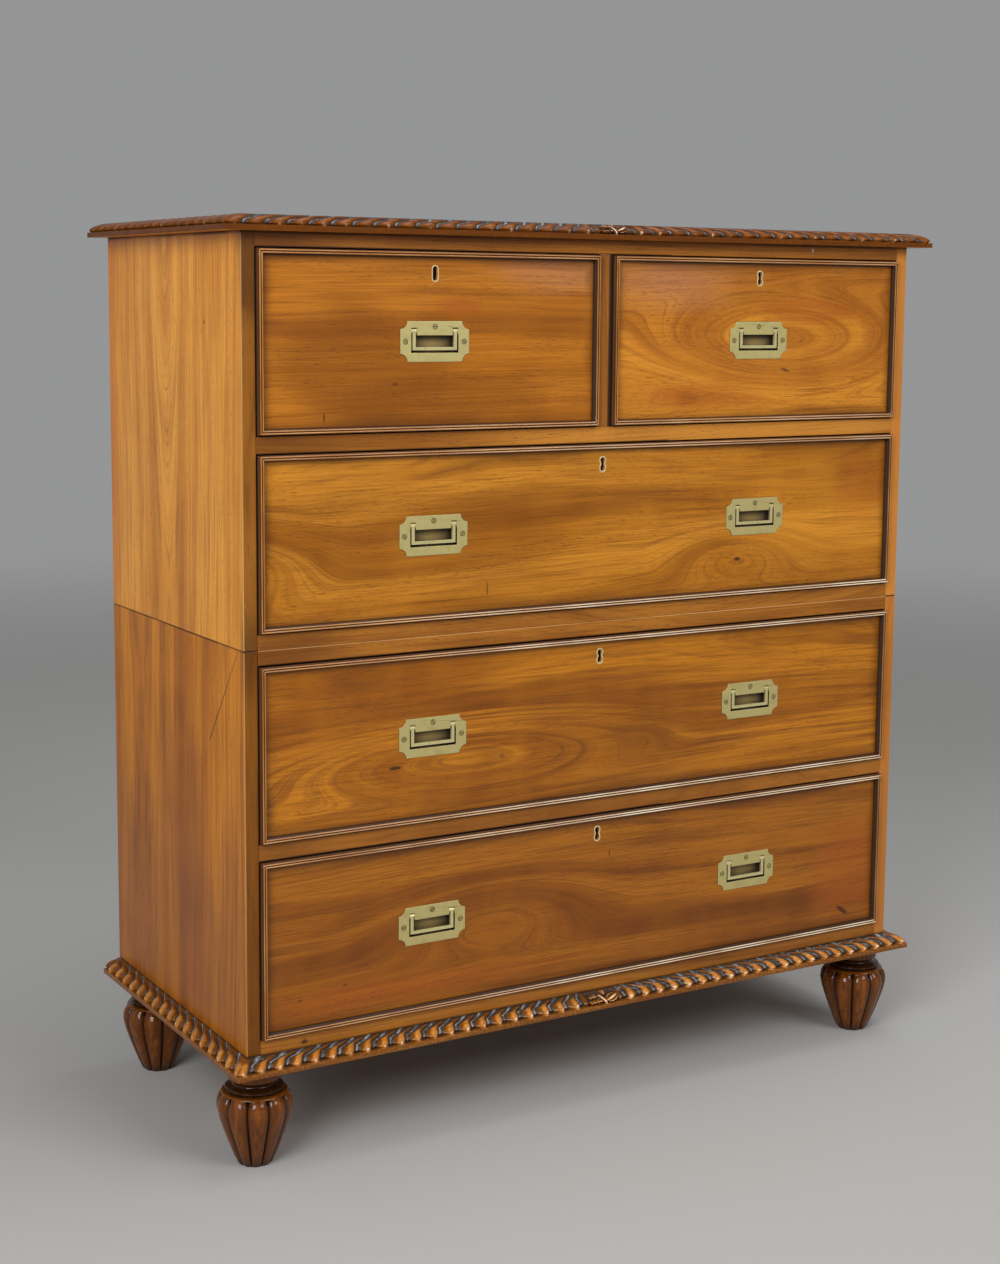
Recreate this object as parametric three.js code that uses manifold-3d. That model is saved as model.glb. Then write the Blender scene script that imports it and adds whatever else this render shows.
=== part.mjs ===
// Campaign chest of drawers in two cases, on turned feet. Millimetres, +Z up, front towards -Y.
// The origin is on the floor, in the middle of the overall box.
import * as THREE from "three";
import { mergeVertices } from "three/addons/utils/BufferGeometryUtils.js";
import Module from "manifold-3d";

const wasm = await Module();
wasm.setup();

// The two cases
const caseWidth = 1000;
const caseDepth = 434;
const sideThickness = 18;
const backThickness = 10;
const backLap = 9;
const railDepth = 45;
const dustboardThickness = 10;
const housingDepth = 6;
const tongueDepth = 8;
const dividerWidth = 19.4;

// Heights of the pieces, from the floor up
const footHeight = 129;
const baseHeight = 18;
const lowerBottomRail = 18;
const bottomDrawerOpening = 221.5;
const lowerMiddleRail = 20.5;
const thirdDrawerOpening = 215.5;
const lowerTopRail = 18.5;
const upperBottomRail = 18.5;
const secondDrawerOpening = 212;
const upperMiddleRail = 20.5;
const topDrawerOpening = 217.5;
const upperTopRail = 18;
const topThickness = 19;

// Carved edges of the top board and the base moulding
const topEdge = {
  sideReach: 27.4,
  frontReach: 20.7,
  fillet: 6.5,
  rollInset: 8,
  cutDepth: 3.6,
  motifHalf: 23,
  frontPitch: 28,
  sidePitch: 27,
};
const baseEdge = {
  sideReach: 22.8,
  frontReach: 25.3,
  fillet: 8,
  rollInset: 1,
  cutDepth: 3.2,
  motifHalf: 26,
  frontPitch: 24,
  sidePitch: 27,
};
const baseFrameWidth = 78;

// Feet
const footRadius = 48.3;
const footInFromSide = 25;
const footInFromFront = 35;
const backFootInFromSide = 36;
const footInFromBack = 49;
const footLobes = 10;
const footCut = 4.5;
const tenonRadius = 12;
const tenonLength = 13;

// Drawers
const drawerGap = 1.5;
const runningGap = 0.3;
const faceSetback = 1.5;
const frontThickness = 20;
const beadWidth = 6.5;
const beadHeight = 8.5;
const beadRebate = 4;
const drawerSideThickness = 10;
const drawerBottomThickness = 6;
const drawerBottomLift = 8;
const drawerSideDrop = 9;
const drawerBackGap = 12;

// Locks
const lockWidth = 58;
const lockHeight = 38;
const lockThickness = 11;
const boltWidth = 24;
const boltThickness = 5;
const boltHeight = 14;
const boltThrow = 8;
const boltSetback = 5.7;
const keyholeDrop = 26;
const keyholeWidth = 6.9;
const keyholeHeight = 17.8;
const keyholeDepthInLock = 8;

// Sunk handles
const handleSpread = 246.5;
const plateWidth = 95;
const plateHeight = 49;
const plateThickness = 2;
const plateProud = 0.4;
const plateNotchRadius = 9.75;
const panOpeningWidth = 65;
const panOpeningHeight = 21;
const panOpeningRise = 11;
const panDepth = 12;
const panDish = 4;
const panWall = 1.6;
const knuckleWidth = 8;
const knuckleRadius = 3;
const knuckleRise = 5;
const slotRise = 9;
const pinRadius = 1.2;
const pinLength = 2.2;
const bailArmWidth = 4;
const bailArmThickness = 3;
const bailSideGap = 2;
const bailBarHeight = 3.8;
const bailBarLift = 3;

// Fits
const fitGap = 0.3;
const mortiseGap = 0.9;
const overrun = 5;
const weldDistance = 0.0001;

// How round the round pieces are
const arcSteps = 4;
const dishSteps = 3;
const pinSides = 6;
const knuckleSides = 10;
const tenonSides = 16;

// Places worked out from the sizes
const halfWidth = caseWidth / 2;
const innerHalf = halfWidth - sideThickness;
const frontY = (baseEdge.frontReach - caseDepth) / 2;
const backY = frontY + caseDepth;
const railBackY = frontY + railDepth;
const panelFrontY = backY - backThickness;
const faceY = frontY + faceSetback;
const frontBackY = faceY + frontThickness;
const caseBottomZ = footHeight + baseHeight;
const bottomOpeningZ = caseBottomZ + lowerBottomRail;
const lowerMiddleZ = bottomOpeningZ + bottomDrawerOpening;
const thirdOpeningZ = lowerMiddleZ + lowerMiddleRail;
const lowerTopZ = thirdOpeningZ + thirdDrawerOpening;
const joinZ = lowerTopZ + lowerTopRail;
const secondOpeningZ = joinZ + upperBottomRail;
const upperMiddleZ = secondOpeningZ + secondDrawerOpening;
const topOpeningZ = upperMiddleZ + upperMiddleRail;
const topRailZ = topOpeningZ + topDrawerOpening;
const topBoardZ = topRailZ + upperTopRail;
const boltY = frontBackY - boltSetback;

// Finishes
const goldenWood = new THREE.MeshStandardMaterial({ color: 0xb8742e, roughness: 0.38, metalness: 0 });
const sideWood = new THREE.MeshStandardMaterial({ color: 0xc07c38, roughness: 0.4, metalness: 0 });
const darkWood = new THREE.MeshStandardMaterial({ color: 0x7a3f1a, roughness: 0.35, metalness: 0 });
const innerWood = new THREE.MeshStandardMaterial({ color: 0xc79a62, roughness: 0.7, metalness: 0 });
const brass = new THREE.MeshStandardMaterial({ color: 0xb9a765, roughness: 0.35, metalness: 1 });

// A closed three.js mesh as a solid that can be joined and cut
function solidOf(geometry) {
  const bare = geometry.clone();
  bare.deleteAttribute("normal");
  bare.deleteAttribute("uv");
  const merged = mergeVertices(bare, weldDistance);
  const vertProperties = new Float32Array(merged.attributes.position.array);
  const triVerts = new Uint32Array(merged.index.array);
  return new wasm.Manifold(new wasm.Mesh({ numProp: 3, vertProperties, triVerts }));
}

function geometryOf(solid) {
  const mesh = solid.getMesh();
  const geometry = new THREE.BufferGeometry();
  geometry.setAttribute("position", new THREE.BufferAttribute(mesh.vertProperties, 3));
  geometry.setIndex(new THREE.BufferAttribute(mesh.triVerts, 1));
  geometry.computeVertexNormals();
  return geometry;
}

function joined(solids) {
  return solids.reduce((whole, piece) => whole.add(piece));
}

function cutFrom(body, cutters) {
  return cutters.reduce((rest, cutter) => rest.subtract(cutter), body);
}

// A board or block between two places on each axis
function block([left, right], [near, far], [low, high]) {
  const geometry = new THREE.BoxGeometry(1, 1, 1);
  const corners = geometry.attributes.position;
  for (let i = 0; i < corners.count; i++) {
    corners.setXYZ(
      i,
      corners.getX(i) < 0 ? left : right,
      corners.getY(i) < 0 ? near : far,
      corners.getZ(i) < 0 ? low : high,
    );
  }
  return solidOf(geometry);
}

// A round pin along X
function pinAlongX(radius, [left, right], y, z, sides) {
  const geometry = new THREE.CylinderGeometry(radius, radius, right - left, sides);
  geometry.rotateZ(Math.PI / 2);
  geometry.translate((left + right) / 2, y, z);
  return solidOf(geometry);
}

// An outline drawn in X and Z, given a thickness from near to far in Y
function plateOf(shape, [near, far], curveSegments) {
  const geometry = new THREE.ExtrudeGeometry(shape, {
    depth: far - near,
    bevelEnabled: false,
    curveSegments,
  });
  geometry.rotateX(Math.PI / 2);
  geometry.translate(0, far, 0);
  return solidOf(geometry);
}

function addPiece(group, name, geometry, material, place = [0, 0, 0]) {
  const mesh = new THREE.Mesh(geometry, material.clone());
  mesh.name = name;
  mesh.position.set(...place);
  group.add(mesh);
}

// Skin over rows of points, with both ends closed. Each row is a loop of the same length that
// runs anticlockwise, seen from where the rows are heading.
function skinOver(rows, section) {
  const capShape = THREE.ShapeUtils.triangulateShape(section, []);
  const loop = rows[0].length;
  const index = [];
  for (let row = 0; row + 1 < rows.length; row++) {
    for (let k = 0; k < loop; k++) {
      const here = row * loop + k;
      const next = row * loop + ((k + 1) % loop);
      index.push(here, next, next + loop, here, next + loop, here + loop);
    }
  }
  const last = (rows.length - 1) * loop;
  for (const [a, b, c] of capShape) {
    index.push(c, b, a, last + a, last + b, last + c);
  }
  const geometry = new THREE.BufferGeometry();
  geometry.setAttribute("position", new THREE.Float32BufferAttribute(rows.flat(2), 3));
  geometry.setIndex(index);
  return geometry;
}

// Carved rope edge. The rounded upper edge is cut with leaning grooves, three stations to a lobe,
// that fan out from the front corners and meet at a motif in the middle of the front.
const lobePhaseShares = [0, 0.32, 0.72];
const lobeCutShares = [1, 0, 0.12];
const motifPlaceShares = [0, 0.4, 0.7];
const motifCutShares = [1, 0.15, 0.9];
const leanShares = [0.15, 0.42, 0.95];
const grooveShares = [1, 0.95, 0];
const leanEaseLobes = 2.5;

function lobeStations(count, pitch) {
  const stations = [];
  for (let lobe = 0; lobe < count; lobe++) {
    lobePhaseShares.forEach((phase, step) => {
      const along = (lobe + phase) * pitch;
      stations.push({ along, cut: lobeCutShares[step], slip: pitch });
    });
  }
  return stations;
}

// A board whose front and side edges are carved. Rows of points run round the three edges from the
// back left to the back right corner, each from the board's underside up over the roll.
function carvedBoard(edge, bottom, height) {
  const sideLength = caseDepth + edge.frontReach;
  const frontHalf = halfWidth + edge.sideReach;
  const motifStart = frontHalf - edge.motifHalf;
  const sideCount = Math.round(sideLength / edge.sidePitch);
  const frontCount = Math.round(motifStart / edge.frontPitch);
  const sidePitch = sideLength / sideCount;
  const frontPitch = motifStart / frontCount;

  const mirrored = (stations, length) => stations
    .map(({ along, cut, slip }) => ({ along: length - along, cut, slip: -slip }))
    .reverse();
  const side = lobeStations(sideCount, sidePitch);
  const half = lobeStations(frontCount, frontPitch);
  motifPlaceShares.forEach((share, step) => {
    half.push({ along: motifStart + share * edge.motifHalf, cut: motifCutShares[step], slip: 0 });
  });
  const middle = { along: frontHalf, cut: 0, slip: 0 };
  const runs = [
    { from: "backLeft", to: "frontLeft", length: sideLength, fans: [0, sideLength], pitch: sidePitch,
      stations: [{ along: 0, cut: 1, slip: 0 }, ...mirrored(side, sideLength)] },
    { from: "frontLeft", to: "frontRight", length: 2 * frontHalf, pitch: frontPitch,
      fans: [0, motifStart, 2 * frontHalf - motifStart, 2 * frontHalf],
      stations: [...half, middle, ...mirrored(half, 2 * frontHalf)].slice(1) },
    { from: "frontRight", to: "backRight", length: sideLength, fans: [0, sideLength], pitch: sidePitch,
      stations: [...side, { along: sideLength, cut: 1, slip: 0 }].slice(1) },
  ];
  const corners = {
    backLeft: (reach) => [-halfWidth - reach(edge.sideReach), backY],
    frontLeft: (reach) => [-halfWidth - reach(edge.sideReach), frontY - reach(edge.frontReach)],
    frontRight: (reach) => [halfWidth + reach(edge.sideReach), frontY - reach(edge.frontReach)],
    backRight: (reach) => [halfWidth + reach(edge.sideReach), backY],
  };
  const rollBottom = bottom + edge.fillet;
  const rollHeight = height - edge.fillet;
  const rows = runs.flatMap((run) => run.stations.map((station) => {
    const share = station.along / run.length;
    const room = Math.min(...run.fans.map((place) => Math.abs(station.along - place)));
    const slip = station.slip * Math.min(1, room / run.pitch / leanEaseLobes) / run.length;
    const pointAt = (place, reach, z) => {
      const [startX, startY] = corners[run.from](reach);
      const [endX, endY] = corners[run.to](reach);
      return [startX + (endX - startX) * place, startY + (endY - startY) * place, z];
    };
    const row = [bottom, rollBottom].map((z) => pointAt(share, (reach) => reach, z));
    leanShares.forEach((lean, step) => {
      const angle = ((step + 1) / leanShares.length) * Math.PI / 2;
      const cut = edge.cutDepth * station.cut * grooveShares[step];
      const reachHere = (reach) => (reach + edge.rollInset - cut) * Math.cos(angle) - edge.rollInset;
      const rise = step + 1 < leanShares.length ? (rollHeight - cut) * Math.sin(angle) : rollHeight;
      row.push(pointAt(share + slip * lean, reachHere, rollBottom + rise));
    });
    return row;
  }));
  return solidOf(boardSkin(rows));
}

// Closes rows of points round three edges of a board with its top and underside, which fan out
// from the board's middle, and with its back edge
function boardSkin(rows) {
  const steps = rows[0].length;
  const at = (row, step) => row * steps + step;
  const index = [];
  for (let row = 0; row + 1 < rows.length; row++) {
    for (let step = 0; step + 1 < steps; step++) {
      index.push(at(row, step), at(row + 1, step), at(row + 1, step + 1));
      index.push(at(row, step), at(row + 1, step + 1), at(row, step + 1));
    }
  }
  const last = rows.length - 1;
  const points = rows.flat();
  const [topHub, underHub] = [points.length, points.length + 1];
  points.push([0, (frontY + backY) / 2, rows[0][steps - 1][2]], [0, (frontY + backY) / 2, rows[0][0][2]]);
  for (let row = 0; row <= last; row++) {
    const next = (row + 1) % rows.length;
    index.push(topHub, at(row, steps - 1), at(next, steps - 1));
    index.push(underHub, at(next, 0), at(row, 0));
  }
  const backPlaces = rows[0].map((_, step) => at(0, step))
    .concat(rows[last].map((_, step) => at(last, step)).reverse());
  const backEdge = backPlaces.map((place) => new THREE.Vector2(points[place][0], points[place][2]));
  for (const [a, b, c] of THREE.ShapeUtils.triangulateShape(backEdge, [])) {
    index.push(backPlaces[a], backPlaces[c], backPlaces[b]);
  }
  const geometry = new THREE.BufferGeometry();
  geometry.setAttribute("position", new THREE.Float32BufferAttribute(points.flat(), 3));
  geometry.setIndex(index);
  return geometry;
}

// Turned foot: heights as shares of the foot's height, radii as shares of its widest radius, and
// how deep the grooves between the lobes run there as a share of the full cut.
const footOutlineShares = [
  [0, 0.45, 0.2],
  [0.03, 0.53, 0.5],
  [0.2, 0.7, 0.9],
  [0.38, 0.88, 1],
  [0.56, 1, 1],
  [0.64, 0.95, 0.8],
  [0.69, 0.82, 0.1],
  [0.72, 0.6, 0],
  [0.745, 0.64, 0],
  [0.77, 0.56, 0],
  [0.81, 0.54, 0],
  [0.825, 0.69, 0],
  [1, 0.69, 0],
];
const footLobeShares = [0, 0.3, 0.7];
const footGrooveShares = [1, 0, 0];

function footBody() {
  const rows = footOutlineShares.map(([heightShare, radiusShare, cutShare]) => {
    const ring = [];
    for (let lobe = 0; lobe < footLobes; lobe++) {
      footLobeShares.forEach((phase, step) => {
        const angle = (lobe + phase) / footLobes * Math.PI * 2;
        const radius = footRadius * radiusShare - footCut * cutShare * footGrooveShares[step];
        ring.push([radius * Math.cos(angle), radius * Math.sin(angle), footHeight * heightShare]);
      });
    }
    return ring;
  });
  const outline = rows[0].map(([x, y]) => new THREE.Vector2(x, y));
  const body = solidOf(skinOver(rows, outline));
  return body.add(tenon(tenonRadius, footHeight - overrun, footHeight + tenonLength));
}

// The round tenon that holds a foot in the base frame, and its hole
function tenon(radius, low, high) {
  const geometry = new THREE.CylinderGeometry(radius, radius, high - low, tenonSides);
  geometry.rotateX(Math.PI / 2);
  geometry.translate(0, 0, (low + high) / 2);
  return solidOf(geometry);
}

// A rail with its board behind it, housed in the side boards. The drawer above runs on the board.
function railWithBoard(bottom, railHeight, boltPlaces) {
  const top = bottom + railHeight;
  const boardHalf = innerHalf + housingDepth - fitGap;
  const rail = block([-innerHalf, innerHalf], [frontY, railBackY], [bottom, top]);
  const board = block([-boardHalf, boardHalf], [railBackY, panelFrontY], [top - dustboardThickness, top]);
  const tongue = block([-innerHalf, innerHalf], [railBackY - tongueDepth, railBackY + tongueDepth],
    [top - dustboardThickness, top]);
  return cutFrom(joined([rail, tongue, board]), boltPlaces.map((x) => boltMortise(x, bottom)));
}

// The mortise in a rail's underside that the lock's bolt rises into
function boltMortise(x, railBottom) {
  const halfBolt = boltWidth / 2 + mortiseGap;
  const halfDepth = boltThickness / 2 + mortiseGap;
  return block([x - halfBolt, x + halfBolt], [boltY - halfDepth, boltY + halfDepth],
    [railBottom - overrun, railBottom + boltThrow]);
}

// A side board with its rebate for the back and its housings for the boards
function sideBoard(side, [low, high], boardTops) {
  const across = (from, to) => (side < 0 ? [-to, -from] : [from, to]);
  const board = block(across(innerHalf, halfWidth), [frontY, backY], [low, high]);
  const rebate = block(across(innerHalf - overrun, innerHalf + backLap), [panelFrontY, backY + overrun],
    [low - overrun, high + overrun]);
  const housings = boardTops.map((top) => {
    const upper = top + fitGap >= high ? high + overrun : top + fitGap;
    return block(across(innerHalf - overrun, innerHalf + housingDepth), [railBackY, panelFrontY + overrun],
      [top - dustboardThickness, upper]);
  });
  return cutFrom(board, [rebate, ...housings]);
}

function backPanel([low, high]) {
  const half = innerHalf + backLap - fitGap;
  return block([-half, half], [panelFrontY, backY], [low, high]);
}

// Outlines drawn in X and Z
function keyholeShape() {
  const radius = keyholeWidth / 2;
  const rise = keyholeHeight / 2 - radius;
  const shape = new THREE.Shape();
  shape.absarc(0, rise, radius, 0, Math.PI, false);
  shape.absarc(0, -rise, radius, Math.PI, Math.PI * 2, false);
  shape.closePath();
  return shape;
}

function plateShape(grow) {
  const halfX = plateWidth / 2 + grow;
  const halfZ = plateHeight / 2 + grow;
  const notch = plateNotchRadius;
  const shape = new THREE.Shape();
  shape.moveTo(-halfX + notch, -halfZ);
  shape.lineTo(halfX - notch, -halfZ);
  shape.absarc(halfX, -halfZ, notch, Math.PI, Math.PI / 2, true);
  shape.lineTo(halfX, halfZ - notch);
  shape.absarc(halfX, halfZ, notch, -Math.PI / 2, -Math.PI, true);
  shape.lineTo(-halfX + notch, halfZ);
  shape.absarc(-halfX, halfZ, notch, 0, -Math.PI / 2, true);
  shape.lineTo(-halfX, -halfZ + notch);
  shape.absarc(-halfX, -halfZ, notch, Math.PI / 2, 0, true);
  return shape;
}

// Sunk handle, drawn about the middle of its plate with the plate's front at y = 0
const openingLow = -plateHeight / 2 + panOpeningRise;
const openingHigh = openingLow + panOpeningHeight;
const openingHalf = panOpeningWidth / 2;
const panBodyHalf = openingHalf + pinLength + panWall;
const panBodyLow = openingLow - panWall;
const panBodyHigh = openingHigh + slotRise + panWall;
const panBodyDepth = panDepth + panWall;
const pivotY = knuckleRadius;
const pivotZ = openingHigh + knuckleRise;

function handlePlate() {
  const plate = plateOf(plateShape(0), [0, plateThickness], arcSteps);
  const body = block([-panBodyHalf, panBodyHalf], [plateThickness / 2, panBodyDepth],
    [panBodyLow, panBodyHigh]);
  const dish = new THREE.Shape();
  dish.moveTo(-openingHalf, -overrun);
  dish.lineTo(openingHalf, -overrun);
  dish.lineTo(openingHalf, panDepth - panDish);
  dish.quadraticCurveTo(openingHalf / 2, panDepth, 0, panDepth);
  dish.quadraticCurveTo(-openingHalf / 2, panDepth, -openingHalf, panDepth - panDish);
  const cavity = new THREE.ExtrudeGeometry(dish, {
    depth: panOpeningHeight,
    bevelEnabled: false,
    curveSegments: dishSteps,
  });
  cavity.translate(0, 0, openingLow);
  const slotDepth = 2 * (knuckleRadius + fitGap);
  const slots = [-1, 1].map((side) => {
    const inner = side * (openingHalf - knuckleWidth);
    const outer = side * openingHalf;
    return block([Math.min(inner, outer), Math.max(inner, outer)], [-overrun, slotDepth],
      [openingHigh - knuckleRadius, openingHigh + slotRise]);
  });
  const bore = openingHalf + pinLength + fitGap;
  const bores = pinAlongX(pinRadius + fitGap, [-bore, bore], pivotY, pivotZ, pinSides)
    .intersect(joined([
      block([-bore, -openingHalf + fitGap], [-overrun, panDepth], [openingHigh, panBodyHigh]),
      block([openingHalf - fitGap, bore], [-overrun, panDepth], [openingHigh, panBodyHigh]),
    ]));
  return cutFrom(plate.add(body), [solidOf(cavity), ...slots, bores]);
}

function handleBail() {
  const barLow = openingLow + bailBarLift;
  const armOuter = openingHalf - bailSideGap;
  const armInner = armOuter - bailArmWidth;
  const knuckleOuter = openingHalf - fitGap;
  const knuckleInner = openingHalf - knuckleWidth + fitGap;
  const bar = block([-armOuter, armOuter], [0, bailArmThickness], [barLow, barLow + bailBarHeight]);
  const sides = [-1, 1].flatMap((side) => {
    const span = (from, to) => (side < 0 ? [-to, -from] : [from, to]);
    return [
      block(span(armInner, armOuter), [0, bailArmThickness], [barLow, pivotZ]),
      pinAlongX(knuckleRadius, span(knuckleInner, knuckleOuter), pivotY, pivotZ, knuckleSides),
      pinAlongX(pinRadius, span(knuckleInner, openingHalf + pinLength), pivotY, pivotZ, pinSides),
    ];
  });
  return joined([bar, ...sides]);
}

// Drawer lock, drawn with its top edge at z = 0 and its back at y = 0, and its bolt
function lockCase() {
  const body = block([-lockWidth / 2, lockWidth / 2], [-lockThickness, 0], [-lockHeight, 0]);
  const halfBolt = boltWidth / 2 + fitGap;
  const halfDepth = boltThickness / 2 + fitGap;
  const channel = block([-halfBolt, halfBolt], [-boltSetback - halfDepth, -boltSetback + halfDepth],
    [-boltHeight - fitGap, overrun]);
  const keyway = plateOf(keyholeShape(), [-lockThickness - overrun, keyholeDepthInLock - lockThickness],
    arcSteps);
  return cutFrom(body, [channel, keyway.translate(0, 0, -keyholeDrop)]);
}

function lockBolt() {
  return block([-boltWidth / 2, boltWidth / 2],
    [-boltSetback - boltThickness / 2, -boltSetback + boltThickness / 2], [-boltHeight, 0]);
}

// Drawer front: a board with a rebate round its face for the bead, pockets for the handles,
// a keyhole, and a recess for the lock behind it
function drawerFront([left, right], [low, high], handlePlaces, middle) {
  const middleZ = (low + high) / 2;
  const board = block([left, right], [faceY, frontBackY], [low, high]);
  const bandFront = faceY - overrun;
  const bandBack = faceY + beadRebate;
  const band = block([left - overrun, right + overrun], [bandFront, bandBack],
    [low - overrun, high + overrun]);
  const panel = block([left + beadWidth, right - beadWidth], [bandFront - overrun, bandBack + overrun],
    [low + beadWidth, high - beadWidth]);
  const plateSeat = plateOf(plateShape(fitGap), [-overrun, plateThickness + fitGap], arcSteps);
  const panSeat = block([-panBodyHalf - fitGap, panBodyHalf + fitGap], [-overrun, panBodyDepth + fitGap],
    [panBodyLow - fitGap, panBodyHigh + fitGap]);
  const pocket = plateSeat.add(panSeat);
  const pockets = handlePlaces.map((x) => pocket.translate(x, faceY - plateProud, middleZ));
  const keyhole = plateOf(keyholeShape(), [faceY - overrun, frontBackY], arcSteps)
    .translate(middle, 0, high - keyholeDrop);
  const lockSeat = block([middle - lockWidth / 2 - fitGap, middle + lockWidth / 2 + fitGap],
    [frontBackY - lockThickness - fitGap, frontBackY + overrun],
    [high - lockHeight - fitGap, high + overrun]);
  return cutFrom(board, [band.subtract(panel), ...pockets, keyhole, lockSeat]);
}

// Double bead, mitred round the drawer front: how far across its width, and how far out its height
const beadSectionShares = [
  [0, 0.8], [0.06, 0.94], [0.25, 1], [0.42, 0.93], [0.5, 0.78],
  [0.58, 0.9], [0.75, 0.96], [0.94, 0.9], [1, 0.76],
];

function beadFrame([left, right], [low, high]) {
  const backOfBead = faceY + beadRebate - fitGap;
  const section = [
    [0, backOfBead],
    ...beadSectionShares.map(([across, out]) => [across * beadWidth, faceY - out * beadHeight]),
    [beadWidth - fitGap, faceY - fitGap],
    [beadWidth - fitGap, backOfBead],
  ];
  const corner = (x, z) => section.map(([inward, y]) => [
    x + Math.sign((left + right) / 2 - x) * inward, y, z + Math.sign((low + high) / 2 - z) * inward,
  ]);
  const rows = [corner(left, low), corner(right, low), corner(right, high), corner(left, high)];
  const loop = section.length;
  const index = [];
  rows.forEach((row, number) => {
    const next = (number + 1) % rows.length;
    for (let k = 0; k < loop; k++) {
      const after = (k + 1) % loop;
      index.push(number * loop + k, next * loop + after, number * loop + after);
      index.push(number * loop + k, next * loop + k, next * loop + after);
    }
  });
  const geometry = new THREE.BufferGeometry();
  geometry.setAttribute("position", new THREE.Float32BufferAttribute(rows.flat(2), 3));
  geometry.setIndex(index);
  return geometry;
}

// Drawer box: sides, back and bottom behind the front
function drawerBox([left, right], [holeBottom, holeTop]) {
  const low = holeBottom + runningGap;
  const high = holeTop - drawerSideDrop;
  const far = panelFrontY - drawerBackGap;
  const bottomZ = low + drawerBottomLift;
  const whole = block([left, right], [frontBackY, far], [low, high]);
  const inside = block([left + drawerSideThickness, right - drawerSideThickness],
    [frontBackY - overrun, far - drawerSideThickness], [bottomZ + drawerBottomThickness, high + overrun]);
  const under = block([left + drawerSideThickness, right - drawerSideThickness],
    [frontBackY - overrun, far + overrun], [low - overrun, bottomZ]);
  return cutFrom(whole, [inside, under]);
}

// Chest
const chest = new THREE.Group();
const lowerCase = new THREE.Group();
const upperCase = new THREE.Group();
chest.add(lowerCase, upperCase);

const longHalf = innerHalf - drawerGap;
const dividerHalf = dividerWidth / 2;
const shortInner = dividerHalf + drawerGap;
const shortMiddle = (shortInner + longHalf) / 2;
const handlePair = { left: -handleSpread, right: handleSpread };
const drawers = [
  { name: "bottom_drawer", holder: lowerCase, across: [-longHalf, longHalf],
    bottom: bottomOpeningZ, opening: bottomDrawerOpening, handles: handlePair },
  { name: "third_drawer", holder: lowerCase, across: [-longHalf, longHalf],
    bottom: thirdOpeningZ, opening: thirdDrawerOpening, handles: handlePair },
  { name: "second_drawer", holder: upperCase, across: [-longHalf, longHalf],
    bottom: secondOpeningZ, opening: secondDrawerOpening, handles: handlePair },
  { name: "top_left_drawer", holder: upperCase, across: [-longHalf, -shortInner],
    bottom: topOpeningZ, opening: topDrawerOpening, handles: { middle: -shortMiddle } },
  { name: "top_right_drawer", holder: upperCase, across: [shortInner, longHalf],
    bottom: topOpeningZ, opening: topDrawerOpening, handles: { middle: shortMiddle } },
];

// Lower case on its base
addPiece(lowerCase, "lower_side_left",
  geometryOf(sideBoard(-1, [caseBottomZ, joinZ], [bottomOpeningZ, thirdOpeningZ, joinZ])), sideWood);
addPiece(lowerCase, "lower_side_right",
  geometryOf(sideBoard(1, [caseBottomZ, joinZ], [bottomOpeningZ, thirdOpeningZ, joinZ])), sideWood);
addPiece(lowerCase, "lower_back", geometryOf(backPanel([caseBottomZ, joinZ])), innerWood);
addPiece(lowerCase, "lower_floor", geometryOf(railWithBoard(caseBottomZ, lowerBottomRail, [])), goldenWood);
addPiece(lowerCase, "lower_dustboard",
  geometryOf(railWithBoard(lowerMiddleZ, lowerMiddleRail, [0])), goldenWood);
addPiece(lowerCase, "lower_top_frame", geometryOf(railWithBoard(lowerTopZ, lowerTopRail, [0])), goldenWood);

const footPlaces = {
  foot_front_left: [footInFromSide - halfWidth, frontY + footInFromFront],
  foot_front_right: [halfWidth - footInFromSide, frontY + footInFromFront],
  foot_back_left: [backFootInFromSide - halfWidth, backY - footInFromBack],
  foot_back_right: [halfWidth - backFootInFromSide, backY - footInFromBack],
};
const tenonHole = tenon(tenonRadius + fitGap, footHeight - overrun, footHeight + tenonLength + fitGap);
const baseWindow = block([baseFrameWidth - halfWidth, halfWidth - baseFrameWidth],
  [frontY + baseFrameWidth, backY - baseFrameWidth], [footHeight - overrun, caseBottomZ + overrun]);
const baseMoulding = cutFrom(
  carvedBoard(baseEdge, footHeight, baseHeight),
  [baseWindow, ...Object.values(footPlaces).map(([x, y]) => tenonHole.translate(x, y, 0))],
);
addPiece(lowerCase, "base_moulding", geometryOf(baseMoulding), darkWood);
const footGeometry = geometryOf(footBody());
for (const [name, [x, y]] of Object.entries(footPlaces)) {
  addPiece(lowerCase, name, footGeometry, darkWood, [x, y, 0]);
}

// Upper case
addPiece(upperCase, "upper_side_left",
  geometryOf(sideBoard(-1, [joinZ, topBoardZ], [secondOpeningZ, topOpeningZ])), sideWood);
addPiece(upperCase, "upper_side_right",
  geometryOf(sideBoard(1, [joinZ, topBoardZ], [secondOpeningZ, topOpeningZ])), sideWood);
addPiece(upperCase, "upper_back", geometryOf(backPanel([joinZ, topBoardZ])), innerWood);
addPiece(upperCase, "upper_floor", geometryOf(railWithBoard(joinZ, upperBottomRail, [])), goldenWood);
addPiece(upperCase, "upper_dustboard",
  geometryOf(railWithBoard(upperMiddleZ, upperMiddleRail, [0])), goldenWood);
const topRail = block([-innerHalf, innerHalf], [frontY, railBackY], [topRailZ, topBoardZ]);
addPiece(upperCase, "upper_top_rail",
  geometryOf(cutFrom(topRail, [-shortMiddle, shortMiddle].map((x) => boltMortise(x, topRailZ)))), goldenWood);
const dividerFront = block([-dividerHalf, dividerHalf], [frontY, railBackY], [topOpeningZ, topRailZ]);
const dividerBoard = block([-dividerHalf, dividerHalf], [railBackY, panelFrontY], [topOpeningZ, topBoardZ]);
addPiece(upperCase, "upper_divider", geometryOf(dividerFront.add(dividerBoard)), goldenWood);
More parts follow.
